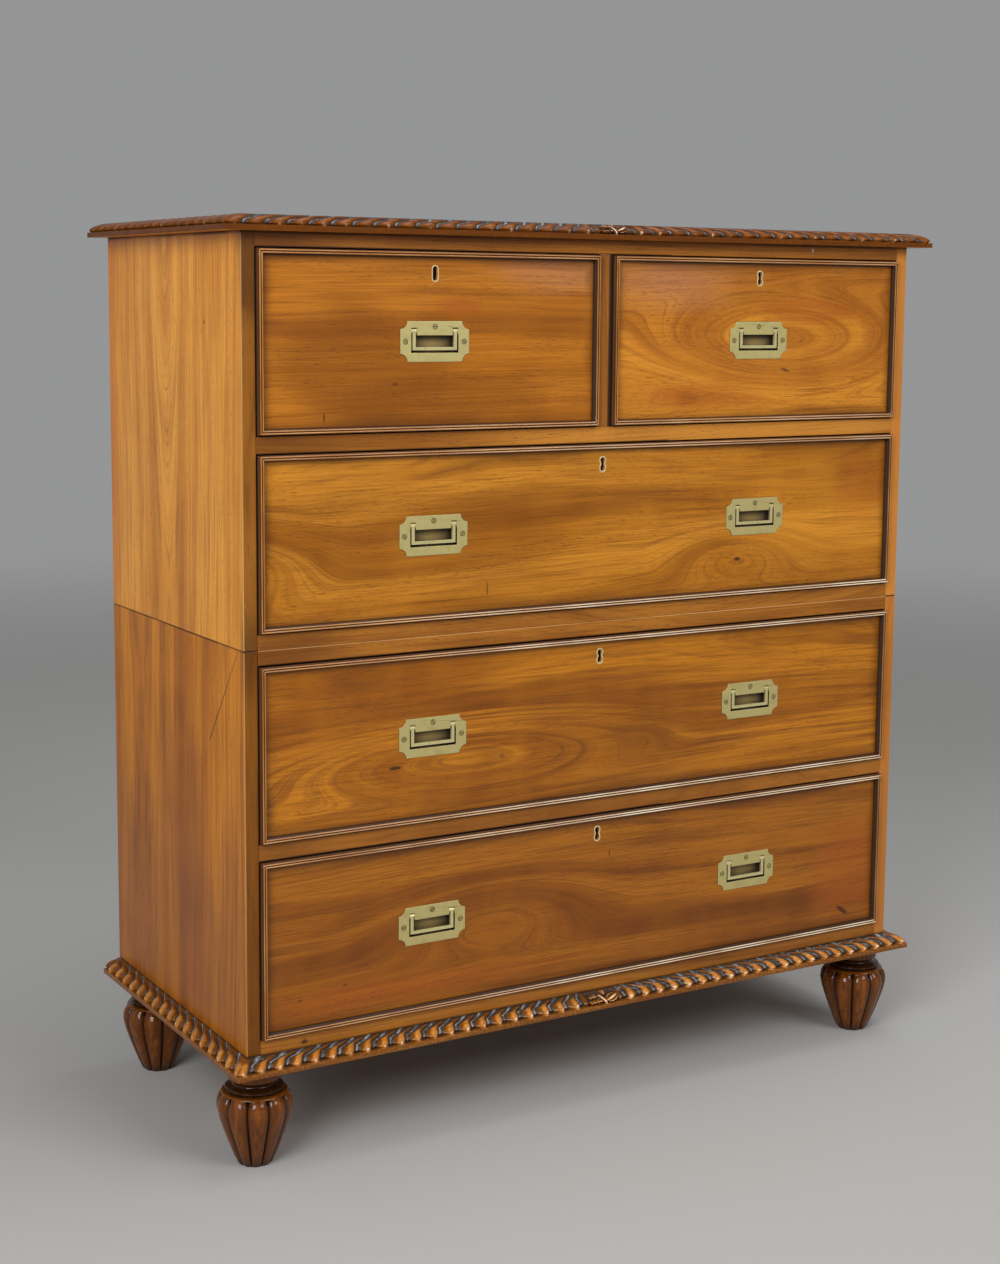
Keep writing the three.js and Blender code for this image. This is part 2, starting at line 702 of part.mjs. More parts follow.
addPiece(upperCase, "top_board", geometryOf(carvedBoard(topEdge, topBoardZ, topThickness)), darkWood);

// Drawers, each with its lock and its handles
const plateGeometry = geometryOf(handlePlate());
const bailGeometry = geometryOf(handleBail());
const lockGeometry = geometryOf(lockCase());
const boltGeometry = geometryOf(lockBolt());
for (const drawer of drawers) {
  const group = new THREE.Group();
  drawer.holder.add(group);
  const { name, across } = drawer;
  const openingTop = drawer.bottom + drawer.opening;
  const upright = [drawer.bottom + drawerGap, openingTop - drawerGap];
  const middle = (across[0] + across[1]) / 2;
  const middleZ = (upright[0] + upright[1]) / 2;
  const handlePlaces = Object.values(drawer.handles);
  const front = drawerFront(across, upright, handlePlaces, middle);
  addPiece(group, `${name}_front`, geometryOf(front), goldenWood);
  addPiece(group, `${name}_bead`, beadFrame(across, upright), darkWood);
  addPiece(group, `${name}_box`, geometryOf(drawerBox(across, [drawer.bottom, openingTop])), innerWood);
  addPiece(group, `${name}_lock`, lockGeometry, brass, [middle, frontBackY, upright[1]]);
  addPiece(group, `${name}_bolt`, boltGeometry, brass, [middle, frontBackY, upright[1]]);
  for (const [side, x] of Object.entries(drawer.handles)) {
    const handle = side === "middle" ? `${name}_handle` : `${name}_${side}_handle`;
    addPiece(group, `${handle}_plate`, plateGeometry, brass, [x, faceY - plateProud, middleZ]);
    addPiece(group, `${handle}_bail`, bailGeometry, brass, [x, faceY - plateProud, middleZ]);
  }
}

export default chest;
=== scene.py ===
# Campaign chest: two stacked cases of drawers on turned feet, in metres, +Z up, front towards -Y.
import math
import random
from itertools import product

import bpy
import numpy as np
from mathutils import Matrix, Vector


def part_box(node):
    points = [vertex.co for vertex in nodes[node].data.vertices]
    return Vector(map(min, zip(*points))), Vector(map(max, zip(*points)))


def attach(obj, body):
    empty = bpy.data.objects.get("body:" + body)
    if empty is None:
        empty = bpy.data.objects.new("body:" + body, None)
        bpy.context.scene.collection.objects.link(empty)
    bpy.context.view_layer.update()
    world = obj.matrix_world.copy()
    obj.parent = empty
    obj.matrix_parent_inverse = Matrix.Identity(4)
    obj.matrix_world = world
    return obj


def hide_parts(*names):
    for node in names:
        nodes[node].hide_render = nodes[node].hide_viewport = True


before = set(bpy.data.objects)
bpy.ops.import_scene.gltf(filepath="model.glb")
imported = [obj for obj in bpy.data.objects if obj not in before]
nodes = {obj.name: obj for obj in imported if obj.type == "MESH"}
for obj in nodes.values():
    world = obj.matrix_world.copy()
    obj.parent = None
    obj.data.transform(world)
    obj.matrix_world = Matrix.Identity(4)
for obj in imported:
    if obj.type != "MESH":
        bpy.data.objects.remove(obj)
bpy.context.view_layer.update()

# Camera. It stands in front and to the left at chest height, a little below the top board,
# and looks slightly down. Its place and angles were fitted to the straight edges of the cases.
photo_height = 1264
focal_px = 2028.56
axis_row_px = 569.4
camera_place = (-1.43966, -2.36, 1.05215)
camera_yaw = math.radians(30.841)
camera_pitch = math.radians(7.589)
camera_roll = math.radians(0.487)
sensor_size = 36

camera = bpy.data.objects.new("camera", bpy.data.cameras.new("camera"))
camera.data.sensor_width = sensor_size
camera.data.lens = focal_px * sensor_size / photo_height
camera.data.shift_y = (axis_row_px - photo_height / 2) / photo_height
camera.matrix_world = (Matrix.Translation(camera_place) @ Matrix.Rotation(-camera_yaw, 4, "Z")
                       @ Matrix.Rotation(math.pi / 2 - camera_pitch, 4, "X")
                       @ Matrix.Rotation(camera_roll, 4, "Z"))
bpy.context.scene.collection.objects.link(camera)
bpy.context.scene.camera = camera

# Studio: a plain pale floor that fades into the background, a large soft lamp to the left, a
# weaker one high on the right, one above, and an even light from all round.
bpy.context.scene.view_settings.view_transform = "Standard"
background_colour = (0.3, 0.302, 0.305)
floor_colour = (0.43, 0.43, 0.42)
floor_radius = 9
floor_sides = 96
floor_fade_from, floor_fade_to = 2.0, 6.2
surround_colour = (1, 1, 1)
surround_strength = 0.25
lamps = [("left_lamp", (-3.1, -2.3, 2.5), (-0.2, 0, 0.65), (1.9, 2.2), 122),
         ("front_lamp", (1.3, -3.6, 2.9), (0, 0, 0.5), (2.4, 1.6), 74),
         ("top_lamp", (0.6, -0.4, 3.6), (0, 0, 1), (2.2, 1.6), 40)]


def feed(tree, socket, value):
    """Gives a socket a link, or else its own number, vector or colour."""
    if isinstance(value, bpy.types.NodeSocket):
        tree.links.new(value, socket)
    else:
        socket.default_value = (*value, 1) if socket.type == "RGBA" else value


def node(tree, kind, inputs=None, **settings):
    made = tree.nodes.new("ShaderNode" + kind)
    for key, value in settings.items():
        setattr(made, key, value)
    for socket, value in (inputs or {}).items():
        feed(tree, made.inputs[socket], value)
    return made


def maths(tree, operation, first, second=0.0):
    return node(tree, "Math", {0: first, 1: second}, operation=operation).outputs[0]


def vector(tree, operation, first, second=None):
    """A vector, or the number that a length, a distance or a dot product gives."""
    inputs = {0: first} if second is None else {0: first, 1: second}
    outputs = node(tree, "VectorMath", inputs, operation=operation).outputs
    return outputs["Value" if operation in ("LENGTH", "DISTANCE", "DOT_PRODUCT") else "Vector"]


def ranged(tree, value, low, high, to_low=0.0, to_high=1.0):
    inputs = {"Value": value, "From Min": low, "From Max": high, "To Min": to_low, "To Max": to_high}
    return node(tree, "MapRange", inputs, interpolation_type="SMOOTHSTEP").outputs["Result"]


def new_material(name):
    made = bpy.data.materials.new(name)
    made.use_nodes = True
    made.node_tree.nodes.clear()
    return made, made.node_tree


def new_piece(name, points, faces, *materials, hollows=None, sharp_from=None):
    """A mesh of its own, with a value at each point, if given, for the finish: how deep in a hollow it lies,
    with painted shade added, painted highlights below zero and a painted glint above one. sharp_from is the
    angle in degrees from which an edge shows; without it every face is flat."""
    mesh = bpy.data.meshes.new(name)
    mesh.from_pydata(points, [], faces)
    for material in materials:
        mesh.materials.append(material)
    if hollows:
        hollow = mesh.attributes.new("hollow", "FLOAT", "POINT")
        hollow.data.foreach_set("value", np.array(hollows, np.float32))
    if sharp_from:
        mesh.shade_smooth()
        mesh.set_sharp_from_angle(angle=math.radians(sharp_from))
    piece = bpy.data.objects.new(name, mesh)
    bpy.context.scene.collection.objects.link(piece)
    return piece


floor_paint, tree = new_material("studio_floor")
floor_distance = vector(tree, "LENGTH", node(tree, "TexCoord").outputs["Object"])
floor_fade = ranged(tree, floor_distance, floor_fade_from, floor_fade_to)
matt = node(tree, "BsdfDiffuse", {"Color": floor_colour})
clear = node(tree, "BsdfTransparent")
both = node(tree, "MixShader", {0: floor_fade, 1: matt.outputs[0], 2: clear.outputs[0]})
node(tree, "OutputMaterial", {"Surface": both.outputs[0]})
floor_turns = [2 * math.pi * k / floor_sides for k in range(floor_sides)]
floor_rim = [(floor_radius * math.cos(turn), floor_radius * math.sin(turn), 0) for turn in floor_turns]
new_piece("studio_floor", floor_rim, [range(floor_sides)], floor_paint)

world = bpy.data.worlds.new("studio")
bpy.context.scene.world = world
world.use_nodes = True
tree = world.node_tree
tree.nodes.clear()
ray = node(tree, "LightPath").outputs
seen = maths(tree, "MAXIMUM", ray["Is Camera Ray"], ray["Is Transmission Ray"])
seen = maths(tree, "MAXIMUM", seen, ray["Is Glossy Ray"])
lit = node(tree, "Background", {"Color": surround_colour, "Strength": surround_strength})
shown = node(tree, "Background", {"Color": background_colour, "Strength": 1})
both = node(tree, "MixShader", {0: seen, 1: lit.outputs[0], 2: shown.outputs[0]})
node(tree, "OutputWorld", {"Surface": both.outputs[0]})

for lamp_name, place, aim, size, power in lamps:
    light = bpy.data.lights.new(lamp_name, "AREA")
    light.shape = "RECTANGLE"
    light.size, light.size_y = size
    light.energy = power
    lamp = bpy.data.objects.new(lamp_name, light)
    bpy.context.scene.collection.objects.link(lamp)
    lamp.location = place
    lamp.rotation_euler = (Vector(aim) - Vector(place)).to_track_quat("-Z", "Y").to_euler()

# Side boards. Each case has two, of camphor-like wood with upright grain, rebated for the back and
# housed for the boards between the drawers. The left ones face the light: golden at the top and
# redder and darker towards the foot, partly in the wood and partly as painted falloff of the light,
# with a broad peaked figure and a thin crack below the join.
upper_side_tones = ((0.92, 0.4, 0.05), (0.72, 0.27, 0.026), (0.43, 0.135, 0.01))
lower_side_tones = ((0.68, 0.24, 0.012), (0.48, 0.148, 0.006), (0.24, 0.06, 0.002))
side_foot_tone_and_shade_colour = (0.2, 0.044, 0.003)
red_edge_colour = (0.56, 0.13, 0.012)
# The front edges of the side boards: the left one painted in shade, the right one lit.
left_stile_shade_colour = (0.075, 0.02, 0.001)
right_stile_lit_colour = (0.5, 0.18, 0.035)
left_stile_shadow_colour = (0.05, 0.014, 0.001)
stile_depth = 0.0009
# Pale lines down the front corners and along the join: partly wear, partly a painted highlight on the arris.
worn_highlight_colour = (0.72, 0.42, 0.17)
worn_highlight_radius = 0.0016
pore_colour = (0.11, 0.032, 0.006)
# Dark marks, cracks and joints, and also painted shade: shadow lines, shadows in gaps and inside the
# keyholes.
grime_and_shade_colour = (0.02, 0.008, 0.004)
arris_width = 0.0013
arris_angle = 35
weld_gap = 0.00001
flat_face_weight = 90
wood_roughness = 0.3
wood_gloss = 0.16
lower_side_gloss = 0.1
log_shift = (3.1, 1.7, 0.37)
ripple = 0.008
# Each noise of the figure: whether it follows the rings, how often it changes along, across and
# through the grain in a metre, its detail and its roughness.
wood_noises = {
    "band": (True, (1.0, 24.0, 1.0), 2.0, 0.55), "stripe": (True, (2.6, 120.0, 1.0), 3.0, 0.6),
    "hair": (True, (7.0, 560.0, 1.0), 2.0, 0.6), "fibre": (False, (11.0, 520.0, 520.0), 3.0, 0.6),
    "cloud": (False, (3.0, 8.0, 8.0), 2.0, 0.5), "shimmer": (False, (17.0, 12.0, 12.0), 2.0, 0.5),
    "pore": (False, (85.0, 1300.0, 1300.0), 1.0, 0.5), "pore_patch": (True, (4.0, 45.0, 1.0), 1.0, 0.5)}
# Each layer of its colour: the noise, where it sets in and is whole, how much it covers, and which
# of the light, middle and deep tones it has.
wood_layers = [("band", 0.41, 0.58, 1.0, 1), ("band", 0.53, 0.72, 0.75, 2), ("stripe", 0.45, 0.68, 0.6, 2),
               ("fibre", 0.42, 0.66, 0.42, 2), ("cloud", 0.5, 0.74, 0.4, 1), ("shimmer", 0.3, 0.7, 0.22, 0)]


def mixed(tree, share, first, second):
    return node(tree, "Mix", {0: share, 6: first, 7: second}, data_type="RGBA").outputs[2]


def finished(tree, inputs):
    shader = node(tree, "BsdfPrincipled", inputs)
    node(tree, "OutputMaterial", {"Surface": shader.outputs[0]})


def surface_place(tree, axes, seed):
    """The position, its three parts, and the place on the wood as (along the grain, across it, depth), moved
    to its own part of a log."""
    position = node(tree, "TexCoord").outputs["Object"]
    parts = node(tree, "SeparateXYZ", {0: position}).outputs
    turned = node(tree, "CombineXYZ", {way: parts[axis] for way, axis in enumerate(axes)}).outputs[0]
    return position, parts, vector(tree, "ADD", turned, tuple(step * seed for step in log_shift))


def stretched_noise(tree, place, scale, detail=2.0, roughness=0.5, output="Fac"):
    spread = vector(tree, "MULTIPLY", place, scale)
    made = node(tree, "TexNoise", {"Vector": spread, "Scale": 1.0, "Detail": detail, "Roughness": roughness})
    return made.outputs[output]


def wavered(tree, place, scale, detail, amount):
    """A drift of the rings to either side, by up to half the amount."""
    drift = stretched_noise(tree, place, scale, detail, output="Color")
    drift = vector(tree, "SUBTRACT", drift, (0.5, 0.5, 0.5))
    return vector(tree, "MULTIPLY", drift, (0, amount, amount))


def layered(tree, colour, layers):
    """Lays colours over one another, each where its noise is high and up to its share."""
    for noise, low, high, share, tone in layers:
        colour = mixed(tree, ranged(tree, noise, low, high, 0.0, share), colour, tone)
    return colour


def spot(centre, radii, strength=0.8, colour=grime_and_shade_colour, core=0.4, tilt=0.0):
    """An oval mark or patch, whole in its core and fading to its edge."""
    return {"centre": centre, "radii": radii, "strength": strength, "colour": colour, "core": core,
            "tilt": tilt}


def line(start, end, radius, strength=1.0, colour=grime_and_shade_colour):
    """A thin mark between two places."""
    return {"start": start, "end": end, "radius": radius, "strength": strength, "colour": colour}


def spot_shade(tree, position, mark, roughen=None):
    """The strength of a spot in its middle, falling to 0 at its edge, which a noise can make uneven."""
    off = vector(tree, "SUBTRACT", position, mark["centre"])
    if mark["tilt"]:
        turn = {"Vector": off, "Angle": mark["tilt"]}
        off = node(tree, "VectorRotate", turn, rotation_type="Y_AXIS").outputs[0]
    apart = vector(tree, "LENGTH", vector(tree, "DIVIDE", off, mark["radii"]))
    if roughen:
        apart = maths(tree, "ADD", apart, ranged(tree, roughen, 0.3, 0.7, -0.3, 0.3))
    return ranged(tree, apart, mark["core"], 1.0, mark["strength"], 0.0)


def line_shade(tree, position, mark):
    """The strength of a line on it, falling to 0 at its radius."""
    start = Vector(mark["start"])
    reach = Vector(mark["end"]) - start
    off = vector(tree, "SUBTRACT", position, start)
    share = vector(tree, "DOT_PRODUCT", off, reach / reach.length_squared)
    held = maths(tree, "MINIMUM", maths(tree, "MAXIMUM", share, 0.0), 1.0)
    foot = node(tree, "VectorMath", {0: reach, "Scale": held}, operation="SCALE").outputs[0]
    gap = vector(tree, "DISTANCE", off, foot)
    return ranged(tree, gap, mark["radius"] * 0.4, mark["radius"], mark["strength"], 0.0)


def polished_wood(name, axes, seed, tones, heart, wander, swirls=(), patches=(), rim=None, bands=(),
                  marks=(), lines=(), gloss=wood_gloss):
    """Sawn and polished wood with its grain along the first of the three axes. The growth rings lie round
    a heart, given as its place across the board and its depth below it; the figure is where the board
    cuts them, and all the streaks follow it. swirls bend the rings as a branch does."""
    made, tree = new_material(name)
    position, parts, place = surface_place(tree, axes, seed)
    across = maths(tree, "SUBTRACT", parts[axes[1]], heart[0])
    from_heart = node(tree, "CombineXYZ", {1: across, 2: heart[1]}).outputs[0]
    from_heart = vector(tree, "ADD", from_heart, wavered(tree, place, (0.9, 2.6, 2.6), 1.0, wander * 2))
    from_heart = vector(tree, "ADD", from_heart, wavered(tree, place, (3.5, 16.0, 16.0), 2.0, ripple))
    ring = vector(tree, "LENGTH", from_heart)
    for swirl in swirls:
        ring = maths(tree, "ADD", ring, spot_shade(tree, position, {**swirl, "core": 0.0}))
    flow = node(tree, "CombineXYZ", {0: parts[axes[0]], 1: ring, 2: float(seed)}).outputs[0]
    noise = {kind: stretched_noise(tree, flow if on_rings else place, *numbers)
             for kind, (on_rings, *numbers) in wood_noises.items()}
    cloud, stripe = noise["cloud"], noise["stripe"]

    colour = layered(tree, tones[0], [(noise[kind], low, high, share, tones[tone])
                                      for kind, low, high, share, tone in wood_layers])
    for patch in patches:
        colour = mixed(tree, spot_shade(tree, position, patch, cloud), colour, patch["colour"])
    colour = layered(tree, colour, [(noise["hair"], 0.5, 0.72, 0.4, pore_colour)])
    pores = maths(tree, "MULTIPLY", ranged(tree, noise["pore"], 0.6, 0.72),
                  ranged(tree, noise["pore_patch"], 0.35, 0.65, 0.2, 0.75))
    colour = mixed(tree, pores, colour, pore_colour)
    # Darker towards the beads, partly old polish and partly painted shade, with a thin painted shadow line
    # at their foot.
    if rim:
        gap = 1.0
        for axis, low, high in zip("XZ", rim["low"], rim["high"]):
            gap = maths(tree, "MINIMUM", gap, maths(tree, "SUBTRACT", parts[axis], low))
            gap = maths(tree, "MINIMUM", gap, maths(tree, "SUBTRACT", high, parts[axis]))
        uneven = maths(tree, "ADD", gap, ranged(tree, cloud, 0.3, 0.7, -0.004, 0.008))
        shade = ranged(tree, uneven, 0.0, rim["width"], rim["strength"], 0.0)
        colour = mixed(tree, shade, colour, rim["colour"])
        colour = mixed(tree, ranged(tree, gap, 0.0, rim["line"], 0.8, 0.0), colour, grime_and_shade_colour)
    # Bands: the stile edges, painted in shade or lit, and painted shade inside the keyholes.
    for mark in bands:
        streaky = ranged(tree, stripe, 0.3, 0.7, 1.0, 0.75)
        shade = maths(tree, "MULTIPLY", spot_shade(tree, position, mark), streaky)
        colour = mixed(tree, shade, colour, mark["colour"])
    for mark in marks:
        colour = mixed(tree, spot_shade(tree, position, mark, stripe), colour, mark["colour"])
    for mark in lines:
        patchy = ranged(tree, cloud, 0.35, 0.65, 0.5, 1.0)
        shade = maths(tree, "MULTIPLY", line_shade(tree, position, mark), patchy)
        colour = mixed(tree, shade, colour, mark["colour"])

    height = maths(tree, "SUBTRACT", maths(tree, "MULTIPLY", stripe, 0.3), pores)
    bump = node(tree, "Bump", {"Strength": 0.12, "Distance": 0.0004, "Height": height})
    roughness = ranged(tree, cloud, 0.3, 0.75, wood_roughness - 0.05, wood_roughness + 0.08)
    finished(tree, {"Base Color": colour, "Roughness": roughness, "Normal": bump.outputs[0],
                    "Coat Weight": gloss, "Coat Roughness": 0.14, "Specular IOR Level": 0.2})
    return made


def ease_arrises(piece, width):
    bevel = piece.modifiers.new("arris", "BEVEL")
    bevel.width = width
    bevel.segments = 2
    bevel.limit_method = "ANGLE"
    bevel.angle_limit = math.radians(arris_angle)


def finish_cad(name, material, arris=arris_width):
    """Gives a CAD piece its finish and eases its sharp edges."""
    piece = nodes[name]
    mesh = piece.data
    if "custom_normal" in mesh.attributes:
        mesh.attributes.remove(mesh.attributes["custom_normal"])
    mesh.materials.clear()
    mesh.materials.append(material)
    mesh.shade_smooth()
    piece.modifiers.new("weld", "WELD").merge_threshold = weld_gap
    if arris:
        ease_arrises(piece, arris)
    piece.modifiers.new("flat_faces", "WEIGHTED_NORMAL").weight = flat_face_weight


(case_left, front_y, case_foot_z), (_, back_y, join_z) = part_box("lower_side_left")
case_top_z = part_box("upper_side_left")[1].z
case_half = -case_left


def stile_edge(low, high):
    """The front edge of a side board, browner than its face, painted in shade on the left and lit on the
    right, and the pale line at its corner, partly wear and partly a painted highlight on the arris.
    """
    bands, worn_highlights = [], []
    for side, colour in ((-1, left_stile_shade_colour), (1, right_stile_lit_colour)):
        centre = (side * 0.5, front_y - 0.01, (low + high) / 2)
        bands.append(spot(centre, (0.3, 0.01 + stile_depth, 9), 0.8, colour, core=0.97))
        corner = (side * case_half, front_y)
        worn_highlights.append(line(corner + (low,), corner + (high,), worn_highlight_radius, 0.55, worn_highlight_colour))
    return bands, worn_highlights


def painted_shadow_lines(height, radius, strength):
    """Painted shadow lines round the case at one height, in the crease under a moulding or along a joint."""
    corners = [(-case_half, back_y), (-case_half, front_y), (case_half, front_y), (case_half, back_y)]
    return [line(start + (height,), end + (height,), radius, strength)
            for start, end in zip(corners, corners[1:])]


side_crack = line((-0.5, -0.188, 0.639), (-0.5, -0.1, 0.517), 0.0011)
side_peak = spot((0, 0.03, 1.2), (9, 0.1, 0.5), -0.075)
side_knot = spot((-0.5, -0.096, 1.022), (0.01, 0.004, 0.005), 0.7)
back_band = spot((0, back_y - 0.0075, 1.1), (9, 0.0375, 0.9), 0.5, red_edge_colour)
# Darker towards the foot, partly the wood's own colour and partly painted falloff of the light.
foot_tone_and_shade_band = spot((0, 0, 0.1), (9, 9, 0.5), 0.45, side_foot_tone_and_shade_colour, core=0.15)
# Painted shade on the left stile, under the top board and at the join.
left_stile_shadows = [spot((-case_half, front_y, height), (0.08, 0.014, 0.1), 0.6, left_stile_shadow_colour, core=0.0)
               for height in (case_top_z, join_z)]
# Painted shadow under the top board's overhang, along the join, and where the case meets the base.
top_shadow_lines = painted_shadow_lines(case_top_z, 0.0042, 0.85)
join_shadow_lines = painted_shadow_lines(join_z, 0.0018, 0.75)
base_shadow_lines = painted_shadow_lines(case_foot_z, 0.0036, 0.7)
upper_edge, upper_worn_highlights = stile_edge(join_z, case_top_z)
lower_edge, lower_worn_highlights = stile_edge(case_foot_z, join_z)
upper_side_wood = polished_wood("upper_side_wood", "ZYX", 1, upper_side_tones, (0.03, 0.05), 0.03,
                                swirls=[side_peak], patches=[back_band], bands=upper_edge,
                                marks=[side_knot] + left_stile_shadows, lines=upper_worn_highlights + top_shadow_lines + join_shadow_lines)
lower_side_wood = polished_wood("lower_side_wood", "ZYX", 2, lower_side_tones, (0.14, 0.09), 0.05,
                                patches=[foot_tone_and_shade_band], bands=lower_edge, marks=left_stile_shadows[1:],
                                lines=lower_worn_highlights + [side_crack] + join_shadow_lines + base_shadow_lines,
                                gloss=lower_side_gloss)
for side in ("left", "right"):
    finish_cad("lower_side_" + side, lower_side_wood)
    finish_cad("upper_side_" + side, upper_side_wood)

# Rails, divider and boards. The rails and the divider show between the drawers at the front; the
# boards behind them carry the drawers. They are of the same wood with its grain lengthways.
rail_tones = ((0.42, 0.155, 0.018), (0.29, 0.099, 0.01), (0.19, 0.052, 0.003))
rail_shade_colour = (0.12, 0.034, 0.003)
rail_pale_colour = (0.62, 0.25, 0.035)
rail_wander = 0.06
rail_arris = 0.0008
join_arris = 0.0014
metal_speck = spot((0.333, -0.2043, 1.1198), (0.003, 0.003, 0.0035), colour=(0.5, 0.5, 0.52))
rail_spot = spot((-0.424, -0.2043, 0.1545), (0.006, 0.004, 0.004))
# A pale line along the join: partly wear, partly a painted highlight where its arris catches the light.
join_line = line((-case_half, front_y, join_z), (case_half, front_y, join_z), 0.0015, 0.6, worn_highlight_colour)
# Painted shadow down the right of the divider, as cast into the gap beside the top right drawer.
divider_gap_shadow = line((0.0088, front_y, 0.89), (0.0088, front_y, 1.11), 0.0058, 0.96)
# Painted shade on the left ends of the rails, beside the proud stile, and a long pale patch on the rail
# under the top drawers.
rail_shade_and_tone_patches = [spot((-0.45, front_y, height), (0.13, 0.02, 0.05), 0.6, rail_shade_colour, core=0.1)
              for height in (0.4, join_z, 0.88, 1.115)]
rail_shade_and_tone_patches.append(spot((0.2, front_y, 0.88), (0.6, 0.02, 0.03), 0.85, rail_pale_colour, core=0.2))
# Painted shadow along the lower edges of the rails, towards the left.
rail_shades = []
for rail in ("lower_dustboard", "lower_top_frame", "upper_dustboard", "upper_top_rail"):
    edge_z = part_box(rail)[0].z
    rail_shades.append(line((-0.5, front_y, edge_z), (0.1, front_y, edge_z), 0.0022, 0.85))
rail_wood = polished_wood("rail_wood", "XZY", 5, rail_tones, (0.5, 0.3), rail_wander, patches=rail_shade_and_tone_patches,
                          marks=[metal_speck, rail_spot],
                          lines=rail_shades + top_shadow_lines[1:2] + base_shadow_lines[1:2])
join_rail_wood = polished_wood("join_rail_wood", "XZY", 7, rail_tones, (0.5, 0.3), rail_wander,
                               patches=rail_shade_and_tone_patches, lines=[join_line] + rail_shades)
divider_wood = polished_wood("divider_wood", "ZXY", 6, rail_tones, (0.3, 0.3), rail_wander,
                             lines=[divider_gap_shadow])
for rail in ("lower_floor", "lower_dustboard", "upper_floor", "upper_dustboard", "upper_top_rail"):
    finish_cad(rail, rail_wood, rail_arris)
finish_cad("lower_top_frame", join_rail_wood, join_arris)
finish_cad("upper_divider", divider_wood, rail_arris)

# Backs. Each case is closed behind by a plain board set in rebates, sawn and planed but never
# polished, with the joints between its upright planks showing as thin dark lines.
back_tones = ((0.4, 0.25, 0.12), (0.31, 0.18, 0.08), (0.22, 0.12, 0.05))
bare_roughness = 0.68
plank_width = 0.163
plank_joint = 0.0016


def bare_wood(name, axes, seed, plank_axis=None):
    """Planed, unpolished wood: dull, with a plain straight grain, and joints if it is made of planks."""
    made, tree = new_material(name)
    _, parts, place = surface_place(tree, axes, seed)
    streak = stretched_noise(tree, place, (4.0, 160.0, 160.0), 3.0, 0.6)
    cloud = stretched_noise(tree, place, (2.0, 8.0, 8.0))
    dash = stretched_noise(tree, place, (30.0, 800.0, 800.0), 1.0)
    light, middle, deep = back_tones
    colour = layered(tree, light, [(streak, 0.3, 0.7, 1.0, middle), (cloud, 0.4, 0.75, 0.8, deep),
                                   (dash, 0.6, 0.75, 0.35, pore_colour)])
    height = streak
    if plank_axis:
        wrapped = node(tree, "Math", {0: parts[plank_axis], 1: plank_width, 2: 0.0}, operation="WRAP")
        joint = ranged(tree, wrapped.outputs[0], 0.0, plank_joint, 1.0, 0.0)
        colour = mixed(tree, joint, colour, grime_and_shade_colour)
        height = maths(tree, "SUBTRACT", streak, maths(tree, "MULTIPLY", joint, 3.0))
    bump = node(tree, "Bump", {"Strength": 0.3, "Distance": 0.0005, "Height": height})
    finished(tree, {"Base Color": colour, "Roughness": bare_roughness, "Normal": bump.outputs[0],
                    "Specular IOR Level": 0.3})
    return made


back_wood = bare_wood("back_wood", "ZXY", 11, "X")
for back in ("lower_back", "upper_back"):
    finish_cad(back, back_wood, rail_arris)

# Base moulding. A flat fillet with a broad roll above it, carved as a rope that starts at the front
# corners and meets in a sprig of leaves in the middle of the front. It is stained dark, with black
# polish left in the hollows, one flank of each lobe in painted shade, a painted highlight low on the
# ridges and a painted glint down the hollows, and runs back along both sides.
carved_light = (0.64, 0.26, 0.045)
carved_dark = (0.4, 0.135, 0.014)
# Black polish in the hollows; on the beads it is also the painted shade down their outer side.
hollow_colour = (0.036, 0.029, 0.025)
# Dark brown: painted shade on one flank of each lobe and down the sides of the reeds, and the fillet's own
# colour.
brown_and_shade_colour = (0.1, 0.028, 0.003)
# A painted highlight, near white.
painted_highlight_colour = (0.95, 0.78, 0.58)
# A painted glint down the floor of each hollow.
hollow_glint_colour = (0.3, 0.29, 0.29)
base_low, base_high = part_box("base_moulding")
base_frame_width = 0.078
# Of a rope's edge: how far it stands out, its fillet, how far in the roll's top lies, the depth of
# the cut, its lobes, the share of each lobe that stands at rising heights over the roll, where the
# dark top begins (front, side), where the grooves begin to lean, and how strong the painted
# highlights low on the lobes are.
base_edge = {"side_reach": base_high.x - case_half, "front_reach": front_y - base_low.y, "fillet": 0.006,
             "roll_inset": 0.0012, "cut": 0.0058, "motif_half": 0.0255, "front_lobes": 21, "side_lobes": 17,
             "front_shares": [(0.0, 0.66), (0.4, 0.62), (0.7, 0.52), (1.0, 0.3)],
             "side_shares": [(0.0, 0.76), (0.4, 0.74), (0.8, 0.7), (1.0, 0.6)], "dark_top": (0.8, 0.96),
             "lean_from": 0.58, "rubbed": 0.42}
stations_per_lobe = 20
uneven_seed = 7
motif_stations = 60
roll_steps = 20
crest_share = 0.6
corner_phase = 0.2
lean_lobes = 0.9
lean_ease_lobes = 1.5
hollow_glint = 0.3
fillet_hollows = [0.38, 0.32]
rope_sharp_from = 52
# Each leaf of the sprig: its middle, its half length and width, and its tilt.
sprig_leaves = [((-0.54, 0.2), (0.44, 0.17), 0.03), ((-0.5, 0.56), (0.38, 0.16), 0.08),
                ((0.52, 0.36), (0.46, 0.3), 0.42), ((0.2, 0.78), (0.22, 0.15), 1.1)]


def smooth(low, high, value):
    share = min(1.0, max(0.0, (value - low) / (high - low)))
    return share * share * (3 - 2 * share)


def lean_at(across, lean_from):
    """How far a groove has leaned over, in lobes, at a share of the way up and over the roll: nearly upright
    at first, then swept over."""
    return lean_lobes * (0.08 * across + 0.92 * max(0.0, (across - lean_from) / (1 - lean_from)) ** 1.4)


